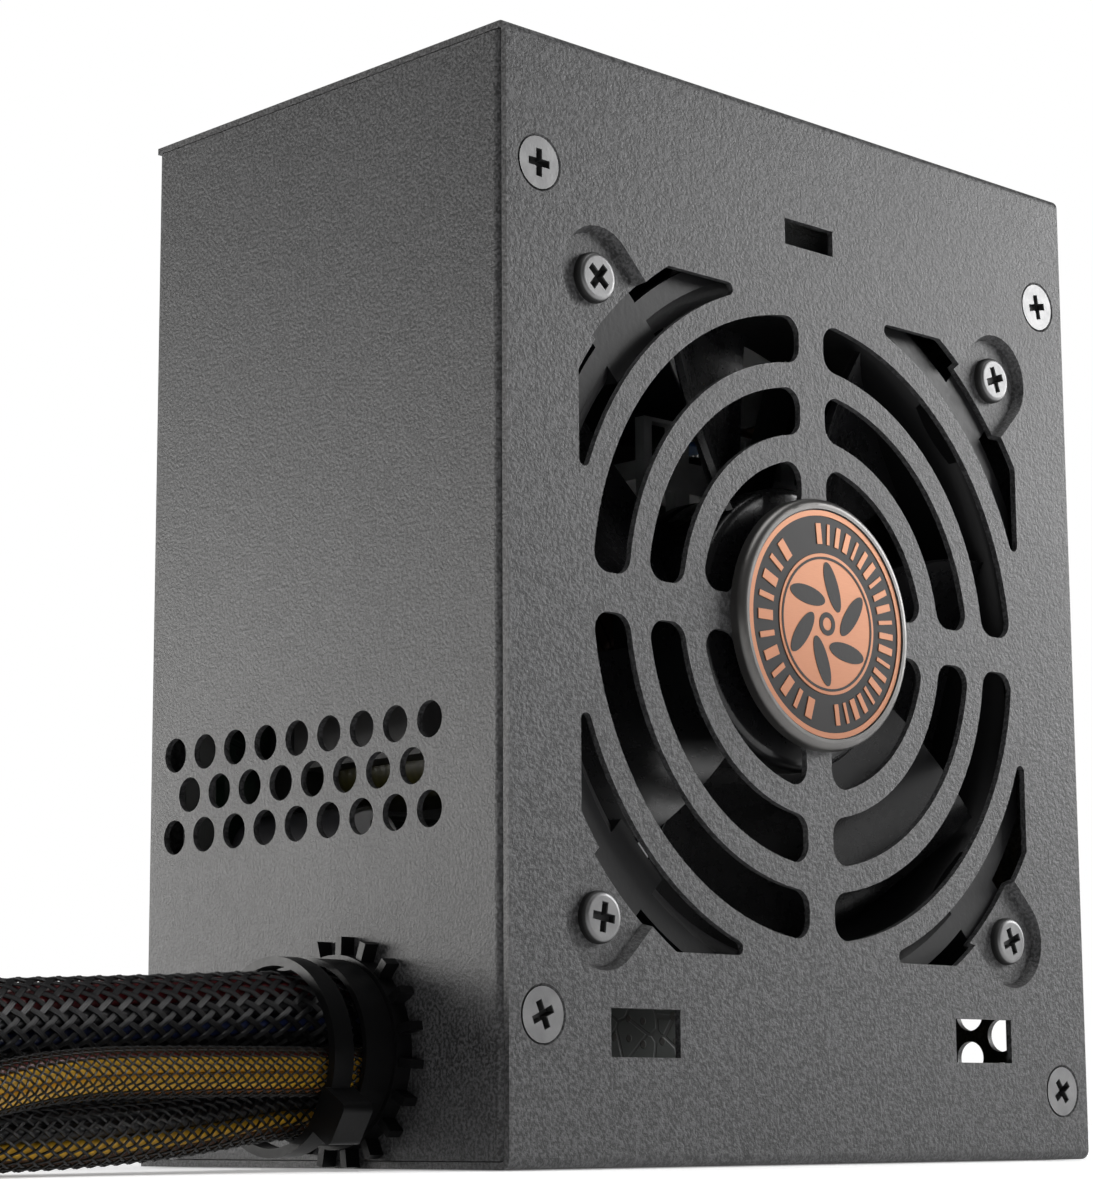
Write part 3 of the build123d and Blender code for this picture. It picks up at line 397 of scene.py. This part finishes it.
newMaterial("transistor", steppedPart("Y", 0.0160, (0.016, 0.016, 0.017), (0.6, 0.6, 0.58), 0.5, 0.3, 0.0, 1.0))
newMaterial("black_resin", steppedPart("Y", 0.0158, (0.014, 0.014, 0.014), (0.6, 0.6, 0.58), 0.45, 0.3, 0.0, 1.0))
newMaterial("yellow_box", mouldedPlastic((0.60, 0.40, 0.03), 0.36))
newMaterial("blue_epoxy", steppedPart("Y", 0.0225, (0.02, 0.10, 0.30), (0.6, 0.6, 0.58), 0.3, 0.3, 0.0, 1.0))
newMaterial("varistor_epoxy", steppedPart("Y", 0.0215, (0.03, 0.16, 0.22), (0.6, 0.6, 0.58), 0.3, 0.3, 0.0, 1.0))
newMaterial("fuse", fuseGlass)
newMaterial("pin_metal", bareMetal((0.66, 0.64, 0.58), 0.22))
newMaterial("black_plastic", mouldedPlastic((0.012, 0.012, 0.0125), 0.42, 1600, 0.00002))
newMaterial("bushing_nylon", mouldedPlastic((0.0025, 0.0025, 0.0027), 0.34, 1300, 0.00002),
            Specular_IOR_Level=0.16)
newMaterial("rocker_plastic", mouldedPlastic((0.010, 0.010, 0.011), 0.2, 1400, 0.00001),
            Coat_Weight=0.3, Coat_Roughness=0.1)
newMaterial("marking_white", mouldedPlastic((0.75, 0.75, 0.73), 0.5))
newMaterial("wire_black", insulation((0.012, 0.012, 0.013), 0.42))
newMaterial("wire_red", insulation((0.10, 0.006, 0.008)))
newMaterial("wire_yellow", insulation((0.80, 0.45, 0.03)))
newMaterial("wire_orange", insulation((0.60, 0.17, 0.02)))
newMaterial("wire_blue", insulation((0.006, 0.012, 0.05)))
newMaterial("wire_violet", insulation((0.09, 0.03, 0.16)))
newMaterial("wire_grey", insulation((0.16, 0.16, 0.16)))
newMaterial("wire_brown", insulation((0.10, 0.035, 0.012)))
nodeFinish = {
    "fan_side_cover": "powder_coat", "chassis_tray": "powder_coat", "cover_screws": "cover_screw",
    "fan_screws": "fan_screw", "grille_badge": "badge_metal", "fan_frame": "frame_plastic",
    "fan_rotor": "fan_plastic", "rotor_magnet": "magnet", "fan_shaft": "shaft_steel", "fan_bearing": "bronze",
    "fan_stator_core": "core_steel", "fan_coils": "copper_wire", "fan_circuit": "fan_board",
    "fan_lead": "wire_black", "fan_lead_plug": "white_nylon", "main_board": "circuit_board",
    "board_standoffs": "pin_metal", "board_screws": "screw_steel", "insulating_film": "film",
    "bulk_capacitor": "bulk_sleeve", "output_capacitors": "output_sleeve", "transformer_winding": "winding_tape",
    "transformer_core": "ferrite", "standby_transformer": "winding_tape", "correction_choke": "copper_wire",
    "output_choke": "copper_wire", "line_filter_choke": "copper_wire", "primary_heatsink": "bare_aluminium",
    "secondary_heatsink": "bare_aluminium", "switching_transistors": "transistor", "output_rectifiers": "transistor",
    "bridge_rectifier": "black_resin", "film_capacitor": "yellow_box", "disc_capacitors": "blue_epoxy",
    "surge_varistor": "varistor_epoxy", "line_fuse": "fuse", "control_card": "control_card",
    "output_wires": "wire_black", "mains_wires": "wire_brown", "mains_inlet": "black_plastic",
    "inlet_pins": "pin_metal", "inlet_screws": "screw_steel", "switch_frame": "black_plastic",
    "switch_rocker": "rocker_plastic", "cable_bushing": "bushing_nylon", "cable_tie": "bushing_nylon",
    "main_plug": "black_plastic", "processor_plug": "black_plastic", "graphics_plug": "black_plastic",
    "drive_plug": "black_plastic",
}


def dressNodes():
    for name, finish in nodeFinish.items():
        mesh = nodes[name].data
        mesh.materials.clear()
        mesh.materials.append(finishes[finish])
    print("materials on", len(nodeFinish), "nodes")


def letGo():
    if bpy.context.mode != "OBJECT":
        bpy.ops.object.mode_set(mode="OBJECT")
    bpy.ops.object.select_all(action="DESELECT")


def takeUp(*pieces):
    letGo()
    for piece in pieces:
        piece.select_set(True)
    bpy.context.view_layer.objects.active = pieces[0]


def nameIt(name, finish):
    piece = bpy.context.object
    piece.name = piece.data.name = name
    piece.data.materials.append(finishes[finish])
    return piece


def editAll(piece):
    takeUp(piece)
    bpy.ops.object.mode_set(mode="EDIT")
    bpy.ops.mesh.select_all(action="SELECT")


def pick(piece, test):
    # in edit mode afterwards, with the faces that pass the test selected
    takeUp(piece)
    bpy.ops.object.mode_set(mode="EDIT")
    bpy.ops.mesh.select_mode(type="FACE")
    bpy.ops.mesh.select_all(action="DESELECT")
    bpy.ops.object.mode_set(mode="OBJECT")
    for face in piece.data.polygons:
        face.select = test(face)
    bpy.ops.object.mode_set(mode="EDIT")


def settle(piece):
    takeUp(piece)
    bpy.ops.object.transform_apply(location=True, rotation=True, scale=True)


def addModifier(piece, kind, **settings):
    takeUp(piece)
    modifier = piece.modifiers.new(kind.lower(), kind)
    for key, value in settings.items():
        setattr(modifier, key, value)
    bpy.ops.object.modifier_apply(modifier=modifier.name)


def copyPiece(piece, turnZ=0.0, move=(0, 0, 0)):
    takeUp(piece)
    bpy.ops.object.duplicate(linked=False)
    twin = bpy.context.object
    twin.matrix_world = Matrix.Translation(move) @ Matrix.Rotation(turnZ, 4, "Z") @ twin.matrix_world
    settle(twin)
    return twin


def joinAll(name, pieces):
    takeUp(*pieces)
    bpy.ops.object.join()
    whole = bpy.context.object
    whole.name = whole.data.name = name
    return whole


def squareUp(piece):
    # normals outwards once doubles are merged
    editAll(piece)
    bpy.ops.mesh.remove_doubles(threshold=0.000001)
    bpy.ops.mesh.normals_make_consistent(inside=False)
    bpy.ops.object.mode_set(mode="OBJECT")


cables = {
    # bare: length of loose wires before the plug; carriers: ribbons of braid each way; turn: length of one
    # turn of a ribbon; ring: how far out the wires lie, the first one at the angle start
    "main": {"radius": 0.0048, "length": 0.292, "stiffness": "stiff", "bare": 0.027, "carriers": 16, "turn": 0.042,
             "ribbon": 0.00070, "ring": 0.00338, "wire": 0.00095, "start": 0.0, "twist": 0.9,
             "colours": ["wire_orange", "wire_yellow", "wire_red", "wire_red", "wire_red", "wire_black", "wire_blue",
                         "wire_black", "wire_black", "wire_violet", "wire_grey"],
             "more": ["wire_black", "wire_orange", "wire_red", "wire_black", "wire_yellow", "wire_black",
                      "wire_orange", "wire_black", "wire_red", "wire_black", "wire_black", "wire_orange",
                      "wire_yellow"],
             "route": [
                 (-0.047, -0.0059, 0.017), (-0.06, -0.0059, 0.0166), (-0.076, -0.006, 0.0156),
                 (-0.098, -0.0074, 0.0146), (-0.12, -0.0132, 0.013), (-0.142, -0.0226, 0.0098),
                 (-0.164, -0.0265, 0.0052), (-0.188, -0.0215, 0.0049), (-0.208, -0.0065, 0.0049),
                 (-0.221, 0.015, 0.0049), (-0.224, 0.041, 0.0049), (-0.217, 0.066, 0.0049),
                 (-0.208, 0.089, 0.0049), (-0.203, 0.11, 0.0049)]},
    "drive": {"radius": 0.0027, "length": 0.315, "stiffness": "limp", "bare": 0.018, "carriers": 16, "turn": 0.022,
              "ribbon": 0.00021, "ring": 0.00143, "wire": 0.0008, "start": 0.0, "twist": 1.3,
              "colours": ["wire_black", "wire_red", "wire_yellow", "wire_yellow", "wire_orange"], "more": [],
              "route": [
                 (-0.047, -0.012, 0.0103), (-0.061, -0.0122, 0.0103), (-0.076, -0.0133, 0.0102),
                 (-0.095, -0.0145, 0.0098), (-0.113, -0.0194, 0.0064), (-0.134, -0.0189, 0.0028),
                 (-0.158, -0.017, 0.0028), (-0.184, -0.0095, 0.0028), (-0.205, 0.0085, 0.0028),
                 (-0.2125, 0.033, 0.0028), (-0.208, 0.059, 0.0028), (-0.193, 0.081, 0.0028),
                 (-0.17, 0.095, 0.0028), (-0.147, 0.101, 0.0028), (-0.126, 0.107, 0.0028)]},
    "processor": {"radius": 0.0033, "length": 0.301, "stiffness": "medium", "bare": 0.022, "carriers": 16,
                  "turn": 0.028,
                  "ribbon": 0.00030, "ring": 0.00195, "wire": 0.00083, "start": 0.0, "twist": 1.1,
                  "colours": ["wire_black", "wire_yellow", "wire_black", "wire_black", "wire_yellow", "wire_brown",
                              "wire_yellow"], "more": ["wire_black"],
                  "route": [
                 (-0.047, -0.0069, 0.0068), (-0.06, -0.0072, 0.00675), (-0.076, -0.0101, 0.0046),
                 (-0.095, -0.0128, 0.0035), (-0.118, -0.011, 0.0034), (-0.14, -0.01, 0.0034),
                 (-0.163, -0.009, 0.0034), (-0.185, -0.0005, 0.0034), (-0.2, 0.017, 0.0034),
                 (-0.2035, 0.04, 0.0034), (-0.196, 0.062, 0.0034), (-0.179, 0.077, 0.0034),
                 (-0.156, 0.084, 0.0034), (-0.132, 0.083, 0.0034), (-0.109, 0.086, 0.0034)]},
    "graphics": {"radius": 0.0033, "length": 0.280, "stiffness": "limp", "bare": 0.022, "carriers": 16, "turn": 0.028,
                 "ribbon": 0.00030, "ring": 0.00195, "wire": 0.00083, "start": 0.4, "twist": 1.0,
                 "colours": ["wire_black", "wire_yellow", "wire_black", "wire_black", "wire_yellow", "wire_black",
                             "wire_yellow"], "more": ["wire_black"],
                 "route": [
                 (-0.047, -0.0008, 0.0097), (-0.06, -0.0009, 0.0094), (-0.076, -0.0026, 0.0058),
                 (-0.095, -0.0044, 0.0035), (-0.118, -0.0036, 0.0034), (-0.14, -0.0024, 0.0034),
                 (-0.161, 0.0005, 0.0034), (-0.18, 0.0095, 0.0034), (-0.191, 0.026, 0.0034),
                 (-0.191, 0.046, 0.0034), (-0.18, 0.062, 0.0034), (-0.161, 0.069, 0.0034),
                 (-0.138, 0.066, 0.0034), (-0.115, 0.061, 0.0034), (-0.094, 0.062, 0.0034)]},
}
plugGroups = {"main": [10, 2], "processor": [2, 2], "graphics": [3, 1]}     # columns of contacts in each block
plugs = {"pitch": 0.0042, "drivePitch": 0.0038, "lift": 0.00085, "overlap": 0.0004}
contact = {"wide": 0.0027, "long": 0.0118, "wall": 0.00045, "deep": 0.0095, "edge": 0.00012, "ahead": 0.0136}
braid = {"thick": 0.0002, "lift": 0.00012}      # lift: how far a ribbon rises and dips at each crossing
shrink = {"long": 0.013, "squeeze": 0.0005, "wall": 0.00035, "lip": 0.0012, "rim": 0.00012, "taper": 0.00025,
          "wrinkle": 0.00005}


def unit(vectors):
    return vectors / np.linalg.norm(vectors, axis=-1, keepdims=True)


def centreLine(name, route):
    curve = bpy.data.curves.new(name + "_route", "CURVE")
    curve.dimensions = "3D"
    curve.resolution_u = 32
    spline = curve.splines.new("NURBS")
    spline.points.add(len(route) - 1)
    for point, at in zip(spline.points, route):
        point.co = (*at, 1.0)
    spline.order_u = 3
    spline.use_endpoint_u = True
    holder = bpy.data.objects.new(name + "_route", curve)
    bpy.context.scene.collection.objects.link(holder)
    found = holder.evaluated_get(bpy.context.evaluated_depsgraph_get())
    mesh = bpy.data.meshes.new_from_object(found)
    points = np.array([tuple(vertex.co) for vertex in mesh.vertices])
    bpy.data.objects.remove(holder)
    bpy.data.meshes.remove(mesh)
    return points


def evenly(points, count, until=None):
    # count points the same distance apart, as far as until along the line
    gone = np.concatenate([[0], np.cumsum(np.linalg.norm(np.diff(points, axis=0), axis=1))])
    wanted = np.linspace(0, until or gone[-1], count)
    return np.stack([np.interp(wanted, gone, points[:, axis]) for axis in range(3)], 1), wanted


def carry(points, up=(0.0, 0.0, 1.0)):
    # the way ahead, and the side and upright carried along it without twisting
    ahead = unit(np.gradient(points, axis=0))
    uprights = []
    for way in ahead:
        up = up - way * np.dot(up, way)
        up = up / np.linalg.norm(up)
        uprights.append(up)
    uprights = np.array(uprights)
    return ahead, np.cross(ahead, uprights), uprights


def roundStrand(points, radius, finish, corners=8):
    ahead, side, up = carry(points)
    turn = np.linspace(0, 2 * math.pi, corners, endpoint=False)
    radii = np.broadcast_to(radius, (len(points),))[:, None, None]
    spokes = side[:, None] * np.cos(turn)[None, :, None] + up[:, None] * np.sin(turn)[None, :, None]
    rings = points[:, None] + radii * spokes
    return rings, finish, np.linspace(0, 1, corners)


def strandMesh(name, strands):
    # one mesh of many swept strands: each has its rings of points, a finish and a place across for its texture
    points, faces, slots, places, used, first = [], [], [], [], [], 0
    for rings, finish, across in strands:
        count, corners = rings.shape[:2]
        if finish not in used:
            used.append(finish)
        step = np.linalg.norm(np.diff(rings[:, 0], axis=0), axis=1)
        gone = np.concatenate([[0], np.cumsum(step)])
        row, here = np.meshgrid(np.arange(count - 1), np.arange(corners), indexing="ij")
        after = (here + 1) % corners
        quads = np.stack([row * corners + here, (row + 1) * corners + here, (row + 1) * corners + after,
                          row * corners + after], -1).reshape(-1, 4)
        caps = [list(range(corners)), list(range((count - 1) * corners, count * corners))[::-1]]
        points.append(rings.reshape(-1, 3))
        for face in quads.tolist() + caps:
            faces.append([corner + first for corner in face])
            slots.append(used.index(finish))
            places.extend((gone[corner // corners] * 100, across[corner % corners]) for corner in face)
        first += count * corners
    mesh = bpy.data.meshes.new(name)
    mesh.from_pydata(np.concatenate(points).tolist(), [], faces)
    for finish in used:
        mesh.materials.append(finishes[finish])
    mesh.polygons.foreach_set("material_index", slots)
    mesh.polygons.foreach_set("use_smooth", [len(face) == 4 for face in faces])
    mesh.uv_layers.new(name="along").data.foreach_set("uv", np.array(places, np.float32).ravel())
    mesh.update()
    piece = bpy.data.objects.new(name, mesh)
    bpy.context.scene.collection.objects.link(piece)
    return piece


def braidedSleeve(name, part, line, long):
    carriers, turn = part["carriers"], part["turn"]
    count = int(long / (turn / (2 * carriers))) + 1
    points, gone = evenly(line, count, long)
    ahead, side, up = carry(points)
    squeezed = shrink["squeeze"] * np.clip((gone - long + 0.017) / 0.006, 0, 1)
    middle = part["radius"] - braid["lift"] - braid["thick"] / 2 - squeezed
    wide, thick = part["ribbon"], braid["thick"]
    outline = [(wide / 2, -thick / 2), (wide / 2, thick * 0.1), (wide / 4, thick / 2), (-wide / 4, thick / 2),
               (-wide / 2, thick * 0.1), (-wide / 2, -thick / 2)]
    across = [a / wide + 0.5 for a, _ in outline]
    swap = np.where(np.arange(count) % 2 == 0, 1.0, -1.0)
    strands = []
    for way in (1, -1):
        for i in range(carriers):
            angle = 2 * math.pi * (i / carriers + way * np.arange(count) / (2 * carriers))
            outward = side * np.cos(angle)[:, None] + up * np.sin(angle)[:, None]
            path = points + outward * (middle + way * swap * braid["lift"])[:, None]
            sideways = unit(np.cross(unit(np.gradient(path, axis=0)), outward))
            rings = np.stack([path + sideways * a + outward * b for a, b in outline], 1)
            strands.append((rings, "braid", across))
    return strandMesh(name + "_sleeve", strands)


def plugPlaces(name, part):
    # where each wire enters the back of its plug, and the way ahead there
    last, before = (np.array(part["route"][i]) for i in (-1, -2))
    ahead = unit(last - before)
    level = np.array([-ahead[1], ahead[0], 0.0])
    if name == "drive":
        places = [last + level * plugs["drivePitch"] * i + np.array([0, 0, 0.0004]) for i in (-2, -1, 0, 1, 2)]
        return places, ahead, level
    lift = plugs["pitch"] + plugs["lift"] - last[2]
    columns = sum(plugGroups[name])
    places = []
    for i in range(columns):
        for row in (0.5, -0.5):
            across = (i + 0.5 - columns / 2) * plugs["pitch"]
            places.append(last + level * across + np.array([0, 0, lift + row * plugs["pitch"] - 0.0002]))
    return places, ahead, level


def wireBundle(name, part, line, long):
    # wires lie round the inside of the sleeve, then spread to their places in the plug
    places, ahead, level = plugPlaces(name, part)
    count = int(long / 0.0012)
    points, gone = evenly(line, count, long)
    _, side, up = carry(points)
    starts = []
    for i, finish in enumerate(part["colours"]):
        lay = part["twist"] * 2 * math.pi * (gone / long) ** 2
        angle = part["start"] + 2 * math.pi * i / len(part["colours"]) + lay
        ring = part["ring"] - 0.6 * shrink["squeeze"] * np.clip((gone - long + 0.018) / 0.007, 0, 1)
        path = points + (side * np.cos(angle)[:, None] + up * np.sin(angle)[:, None]) * ring[:, None]
        starts.append((path, finish))
    for i, finish in enumerate(part["more"]):
        angle = 2.4 * i
        reach = part["ring"] * 0.62 * math.sqrt((i + 0.5) / len(part["more"])) if len(part["more"]) > 1 else 0.0
        path = (points + side * math.cos(angle) * reach + up * math.sin(angle) * reach)[-12:]
        starts.append((path, finish))
    # the wires furthest to one side go to the places furthest to that side
    starts.sort(key=lambda start: float(start[0][-1] @ level))
    places.sort(key=lambda place: (round(float(place @ level), 5), float(place[2])))
    if len(starts) > len(places):
        starts = starts[:len(places)]
    strands = []
    for (path, finish), place in zip(starts, places):
        leave = unit(path[-1] - path[-2])
        gap = np.linalg.norm(place - path[-1])
        share = np.linspace(0, 1, 16)[1:, None]
        pull = 1.05 * gap
        spread = ((2 * share ** 3 - 3 * share ** 2 + 1) * path[-1]
                  + (share ** 3 - 2 * share ** 2 + share) * leave * pull
                  + (3 * share ** 2 - 2 * share ** 3) * (place + ahead * plugs["overlap"])
                  + (share ** 3 - share ** 2) * ahead * pull)
        spread[:, 2] = np.maximum(spread[:, 2], part["wire"] + 0.0001)
        strands.append(roundStrand(np.concatenate([path, spread]), part["wire"], finish))
    return strandMesh(name + "_wires", strands)


def shrinkTube(name, part, line, long):
    # closed at its mouth and drawn down over the sleeve's end
    points, gone = evenly(line, 34, long + shrink["lip"])
    keep = gone > long - shrink["long"]
    keep[np.argmax(keep) - 1] = True
    fine, _ = evenly(points[keep], 26)
    along = np.linspace(0, 1, 26)
    wrinkles = shrink["wrinkle"] * np.sin(along * 41) * np.sin(along * math.pi)
    outer = part["radius"] - 0.00002 - shrink["taper"] * along ** 2 + wrinkles
    outer[0] -= shrink["rim"]
    outer[-1] -= shrink["rim"]
    ahead, side, up = carry(fine)
    turn = np.linspace(0, 2 * math.pi, 32, endpoint=False)
    spokes = side[:, None] * np.cos(turn)[None, :, None] + up[:, None] * np.sin(turn)[None, :, None]
    outside = fine[:, None] + outer[:, None, None] * spokes
    inside = (fine[:, None] + (outer - shrink["wall"])[:, None, None] * spokes)[::-1]
    rings = np.concatenate([outside, inside, outside[:1]])
    piece = strandMesh(name + "_shrink", [(rings, "shrink_tube", np.linspace(0, 1, 32))])
    shape = bmesh.new()
    shape.from_mesh(piece.data)
    bmesh.ops.delete(shape, geom=[face for face in shape.faces if len(face.verts) > 4], context="FACES_ONLY")
    bmesh.ops.remove_doubles(shape, verts=shape.verts, dist=0.000001)
    bmesh.ops.recalc_face_normals(shape, faces=shape.faces)
    shape.to_mesh(piece.data)
    shape.free()
    return piece


def braidFibre(v):
    # three fine filaments side by side in every ribbon; their colour is painted lighter on the crests as sheen and
    # darker in the grooves as shade
    at = v.place("UV")
    across = v.along(at, "Y")
    ridge = v.maths("ABSOLUTE", v.maths("SINE", across * (3 * math.pi)))
    cloud = v.noise(v.place(), 300, 2.0)
    # painted sheen and shade: the colour follows the filament ridges
    return {"Base Color": v.blend((0.003, 0.003, 0.003), (0.014, 0.014, 0.015), ridge * 0.7 + cloud * 0.3),
            "Roughness": 0.2 + 0.1 * cloud, "Normal": v.bump(ridge, 0.00009)}


def shrinkSkin(v):
    at = v.place()
    cloud = v.noise(at, 240, 3.0)
    fine = v.noise(at, 1900, 2.0)
    return {"Base Color": v.blend((0.010, 0.010, 0.010), (0.022, 0.022, 0.022), cloud),
            "Roughness": 0.42 + 0.16 * fine,
            "Normal": v.bump(cloud + 0.4 * fine, 0.00005)}


newMaterial("braid", braidFibre)
newMaterial("shrink_tube", shrinkSkin)


def plugContacts(name, part):
    # a square tinned socket in each cell, folded from strip
    places, ahead, level = plugPlaces(name, part)
    letGo()
    bpy.ops.mesh.primitive_cube_add(size=1, scale=(contact["wide"], contact["wide"], contact["long"]))
    socket = nameIt(name + "_contacts", "pin_metal")
    settle(socket)
    pick(socket, lambda face: face.normal.z > 0.9)
    bpy.ops.mesh.inset(thickness=contact["wall"], depth=0)
    bpy.ops.mesh.extrude_region_move(TRANSFORM_OT_translate={"value": (0, 0, -contact["deep"])})
    bpy.ops.mesh.select_all(action="SELECT")
    bpy.ops.mesh.normals_make_consistent(inside=False)
    bpy.ops.object.mode_set(mode="OBJECT")
    addModifier(socket, "BEVEL", width=contact["edge"], segments=1, limit_method="ANGLE")
    axes = Matrix((level, (0, 0, 1), ahead)).transposed().to_4x4()
    row = []
    for place in places:
        middle = place + ahead * contact["ahead"]
        twin = copyPiece(socket)
        twin.data.transform(Matrix.Translation(middle) @ axes)
        row.append(twin)
    bpy.data.objects.remove(socket)
    whole = joinAll(name + "_contacts", row)
    squareUp(whole)
    return whole


def makeCables():
    made = {}
    for name, part in cables.items():
        line = centreLine(name, part["route"])
        full = float(np.linalg.norm(np.diff(line, axis=0), axis=1).sum())
        long = full - part["bare"]
        sleeve = braidedSleeve(name, part, line, long)
        wires = wireBundle(name, part, line, long)
        tube = shrinkTube(name, part, line, long)
        extra = [wires, tube]
        if name in plugGroups:
            extra.append(plugContacts(name, part))
        for piece in [sleeve] + extra:
            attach(piece, "housing")
        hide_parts(name + "_cable")
        made[name] = sleeve
        print("cable", name, round(full, 4), "m,", len(sleeve.data.polygons), "faces of braid")
    return made


badge = {"face": -0.03329, "ring": (0.0129, 0.01355), "band": (0.0095, 0.0120), "disc": 0.0084, "thick": 0.00010,
         "rightArc": (96, -82, 21, (0.0009, 0.0005, 0.00075)), "leftArc": (132, 252, 11, (0.0012, 0.0007)),
         "blades": 6, "bladeSize": (0.0031, 0.0011), "bladeReach": 0.0046, "bladeLean": 34, "hub": 0.0014,
         "inkRing": (0.0077, 0.0080), "ink": 0.00005, "sunk": 0.00001}


def flatRing(name, finish, inner, outer, thick, corners=96):
    letGo()
    bpy.ops.mesh.primitive_circle_add(vertices=corners, radius=outer, fill_type="NGON")
    piece = nameIt(name, finish)
    pick(piece, lambda face: True)
    bpy.ops.mesh.inset(thickness=outer - inner, depth=0)
    bpy.ops.mesh.delete(type="FACE")
    bpy.ops.mesh.select_all(action="SELECT")
    bpy.ops.mesh.extrude_region_move(TRANSFORM_OT_translate={"value": (0, 0, thick)})
    bpy.ops.object.mode_set(mode="OBJECT")
    squareUp(piece)
    return piece


def flatDisc(name, finish, radius, thick, corners=64, scale=(1, 1)):
    letGo()
    bpy.ops.mesh.primitive_circle_add(vertices=corners, radius=radius, fill_type="NGON")
    piece = nameIt(name, finish)
    piece.scale = (*scale, 1)
    settle(piece)
    pick(piece, lambda face: True)
    bpy.ops.mesh.extrude_region_move(TRANSFORM_OT_translate={"value": (0, 0, thick)})
    bpy.ops.object.mode_set(mode="OBJECT")
    squareUp(piece)
    return piece


def bandBars():
    # plain bars in two arcs round the band
    inner, outer = badge["band"]
    bars = []
    for start, end, count, widths in (badge["rightArc"], badge["leftArc"]):
        for i in range(count):
            letGo()
            bpy.ops.mesh.primitive_cube_add(size=1, scale=(outer - inner, widths[i % len(widths)], badge["thick"]),
                                            location=((inner + outer) / 2, 0, badge["thick"] / 2))
            bar = nameIt("bar", "badge_copper")
            settle(bar)
            addModifier(bar, "BEVEL", width=0.00003, segments=2)
            bar.matrix_world = Matrix.Rotation(math.radians(start + (end - start) * i / (count - 1)), 4, "Z")
            settle(bar)
            bars.append(bar)
    return bars


def makeBadge():
    thick = badge["thick"]
    copper = [flatRing("ring", "badge_copper", *badge["ring"], thick)] + bandBars()
    disc = flatDisc("disc", "badge_copper", badge["disc"], thick, 96)
    addModifier(disc, "BEVEL", width=0.00004, segments=2, limit_method="ANGLE")
    copper = joinAll("badge_copper_inlay", copper + [disc])
    dark = []
    for i in range(badge["blades"]):
        blade = flatDisc("blade", "badge_black", 1.0, badge["ink"], 32, badge["bladeSize"])
        turn = Matrix.Rotation(2 * math.pi * i / badge["blades"] + 0.3, 4, "Z")
        out = Matrix.Translation((badge["bladeReach"], 0, thick - badge["sunk"]))
        blade.matrix_world = turn @ out @ Matrix.Rotation(math.radians(badge["bladeLean"]), 4, "Z")
        settle(blade)
        dark.append(blade)
    hub = flatRing("hub", "badge_black", badge["hub"] * 0.55, badge["hub"], badge["ink"], 48)
    rim = flatRing("rim", "badge_black", *badge["inkRing"], badge["ink"], 96)
    for piece in (hub, rim):
        piece.location.z = thick - badge["sunk"]
        settle(piece)
    dark = joinAll("badge_rosette", dark + [hub, rim])
    stand = Matrix.Translation((0, badge["face"], middleHeight)) @ Matrix.Rotation(math.radians(90), 4, "X")
    for piece in (copper, dark):
        piece.matrix_world = stand
        settle(piece)
        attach(piece, "housing")
    print("badge:", len(copper.data.polygons), "and", len(dark.data.polygons), "faces")


marks = {"pivot": (0.0493, 0.0, 0.054), "tilt": -10.0, "tall": 0.0026, "reach": 0.0046, "round": 0.0013,
         "line": 0.00032, "long": 0.0025, "thick": 0.00006}


def makeMarks():
    ring = flatRing("round_mark", "marking_white", marks["round"] - marks["line"], marks["round"], marks["thick"], 48)
    letGo()
    bpy.ops.mesh.primitive_cube_add(size=1, scale=(marks["long"], marks["line"] * 1.2, marks["thick"]),
                                    location=(0, 0, marks["thick"] / 2))
    line = nameIt("line_mark", "marking_white")
    settle(line)
    addModifier(line, "BEVEL", width=0.00002, segments=2)
    lean = math.radians(-marks["tilt"])
    rocker = Matrix.Translation(marks["pivot"]) @ Matrix.Rotation(math.radians(marks["tilt"]), 4, "Y")
    for piece, way in ((ring, -1), (line, 1)):
        # local z to the wall's outside, local x along the height
        out = marks["tall"] + marks["reach"] * math.tan(lean) - 0.00001
        seat = Matrix.Translation((out, 0, way * marks["reach"]))
        face = seat @ Matrix.Rotation(math.radians(90) + way * lean, 4, "Y")
        piece.matrix_world = rocker @ face
        settle(piece)
        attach(piece, "rocker")
    print("switch marks done")


def makeFloor():
    letGo()
    bpy.ops.mesh.primitive_plane_add(size=2 * floorSize["half"], location=(0, 0, -0.0001))
    floor = bpy.context.object
    floor.name = "floor"
    pick(floor, lambda face: True)
    bpy.ops.mesh.subdivide(number_cuts=4)
    bpy.ops.object.mode_set(mode="OBJECT")
    settle(floor)
    grey = floorSize["grey"]

    def recipe(v):
        cloud = v.noise(v.place(), 3, 2.0)
        x, y = (v.along(v.place(), axis) for axis in "XY")
        far = v.ramp(x * x + y * y, 0.15, 2.0)      # a light table, brighter where the lamps don't reach
        glow = v.blend((floorSize["glow"],) * 3, (floorSize["farGlow"],) * 3, far)
        return {"Base Color": v.blend((grey, grey, grey), (grey * 0.99, grey * 0.99, grey), cloud),
                "Roughness": floorSize["roughness"] + 0.02 * cloud, "Emission Color": glow}
    newMaterial("floor", recipe, Specular_IOR_Level=0.2, Emission_Strength=1.0)
    floor.data.materials.append(finishes["floor"])


makeCamera()
print("camera set")
makeCables()
dressNodes()
makeBadge()
makeMarks()
makeFloor()
makeLights()
letGo()
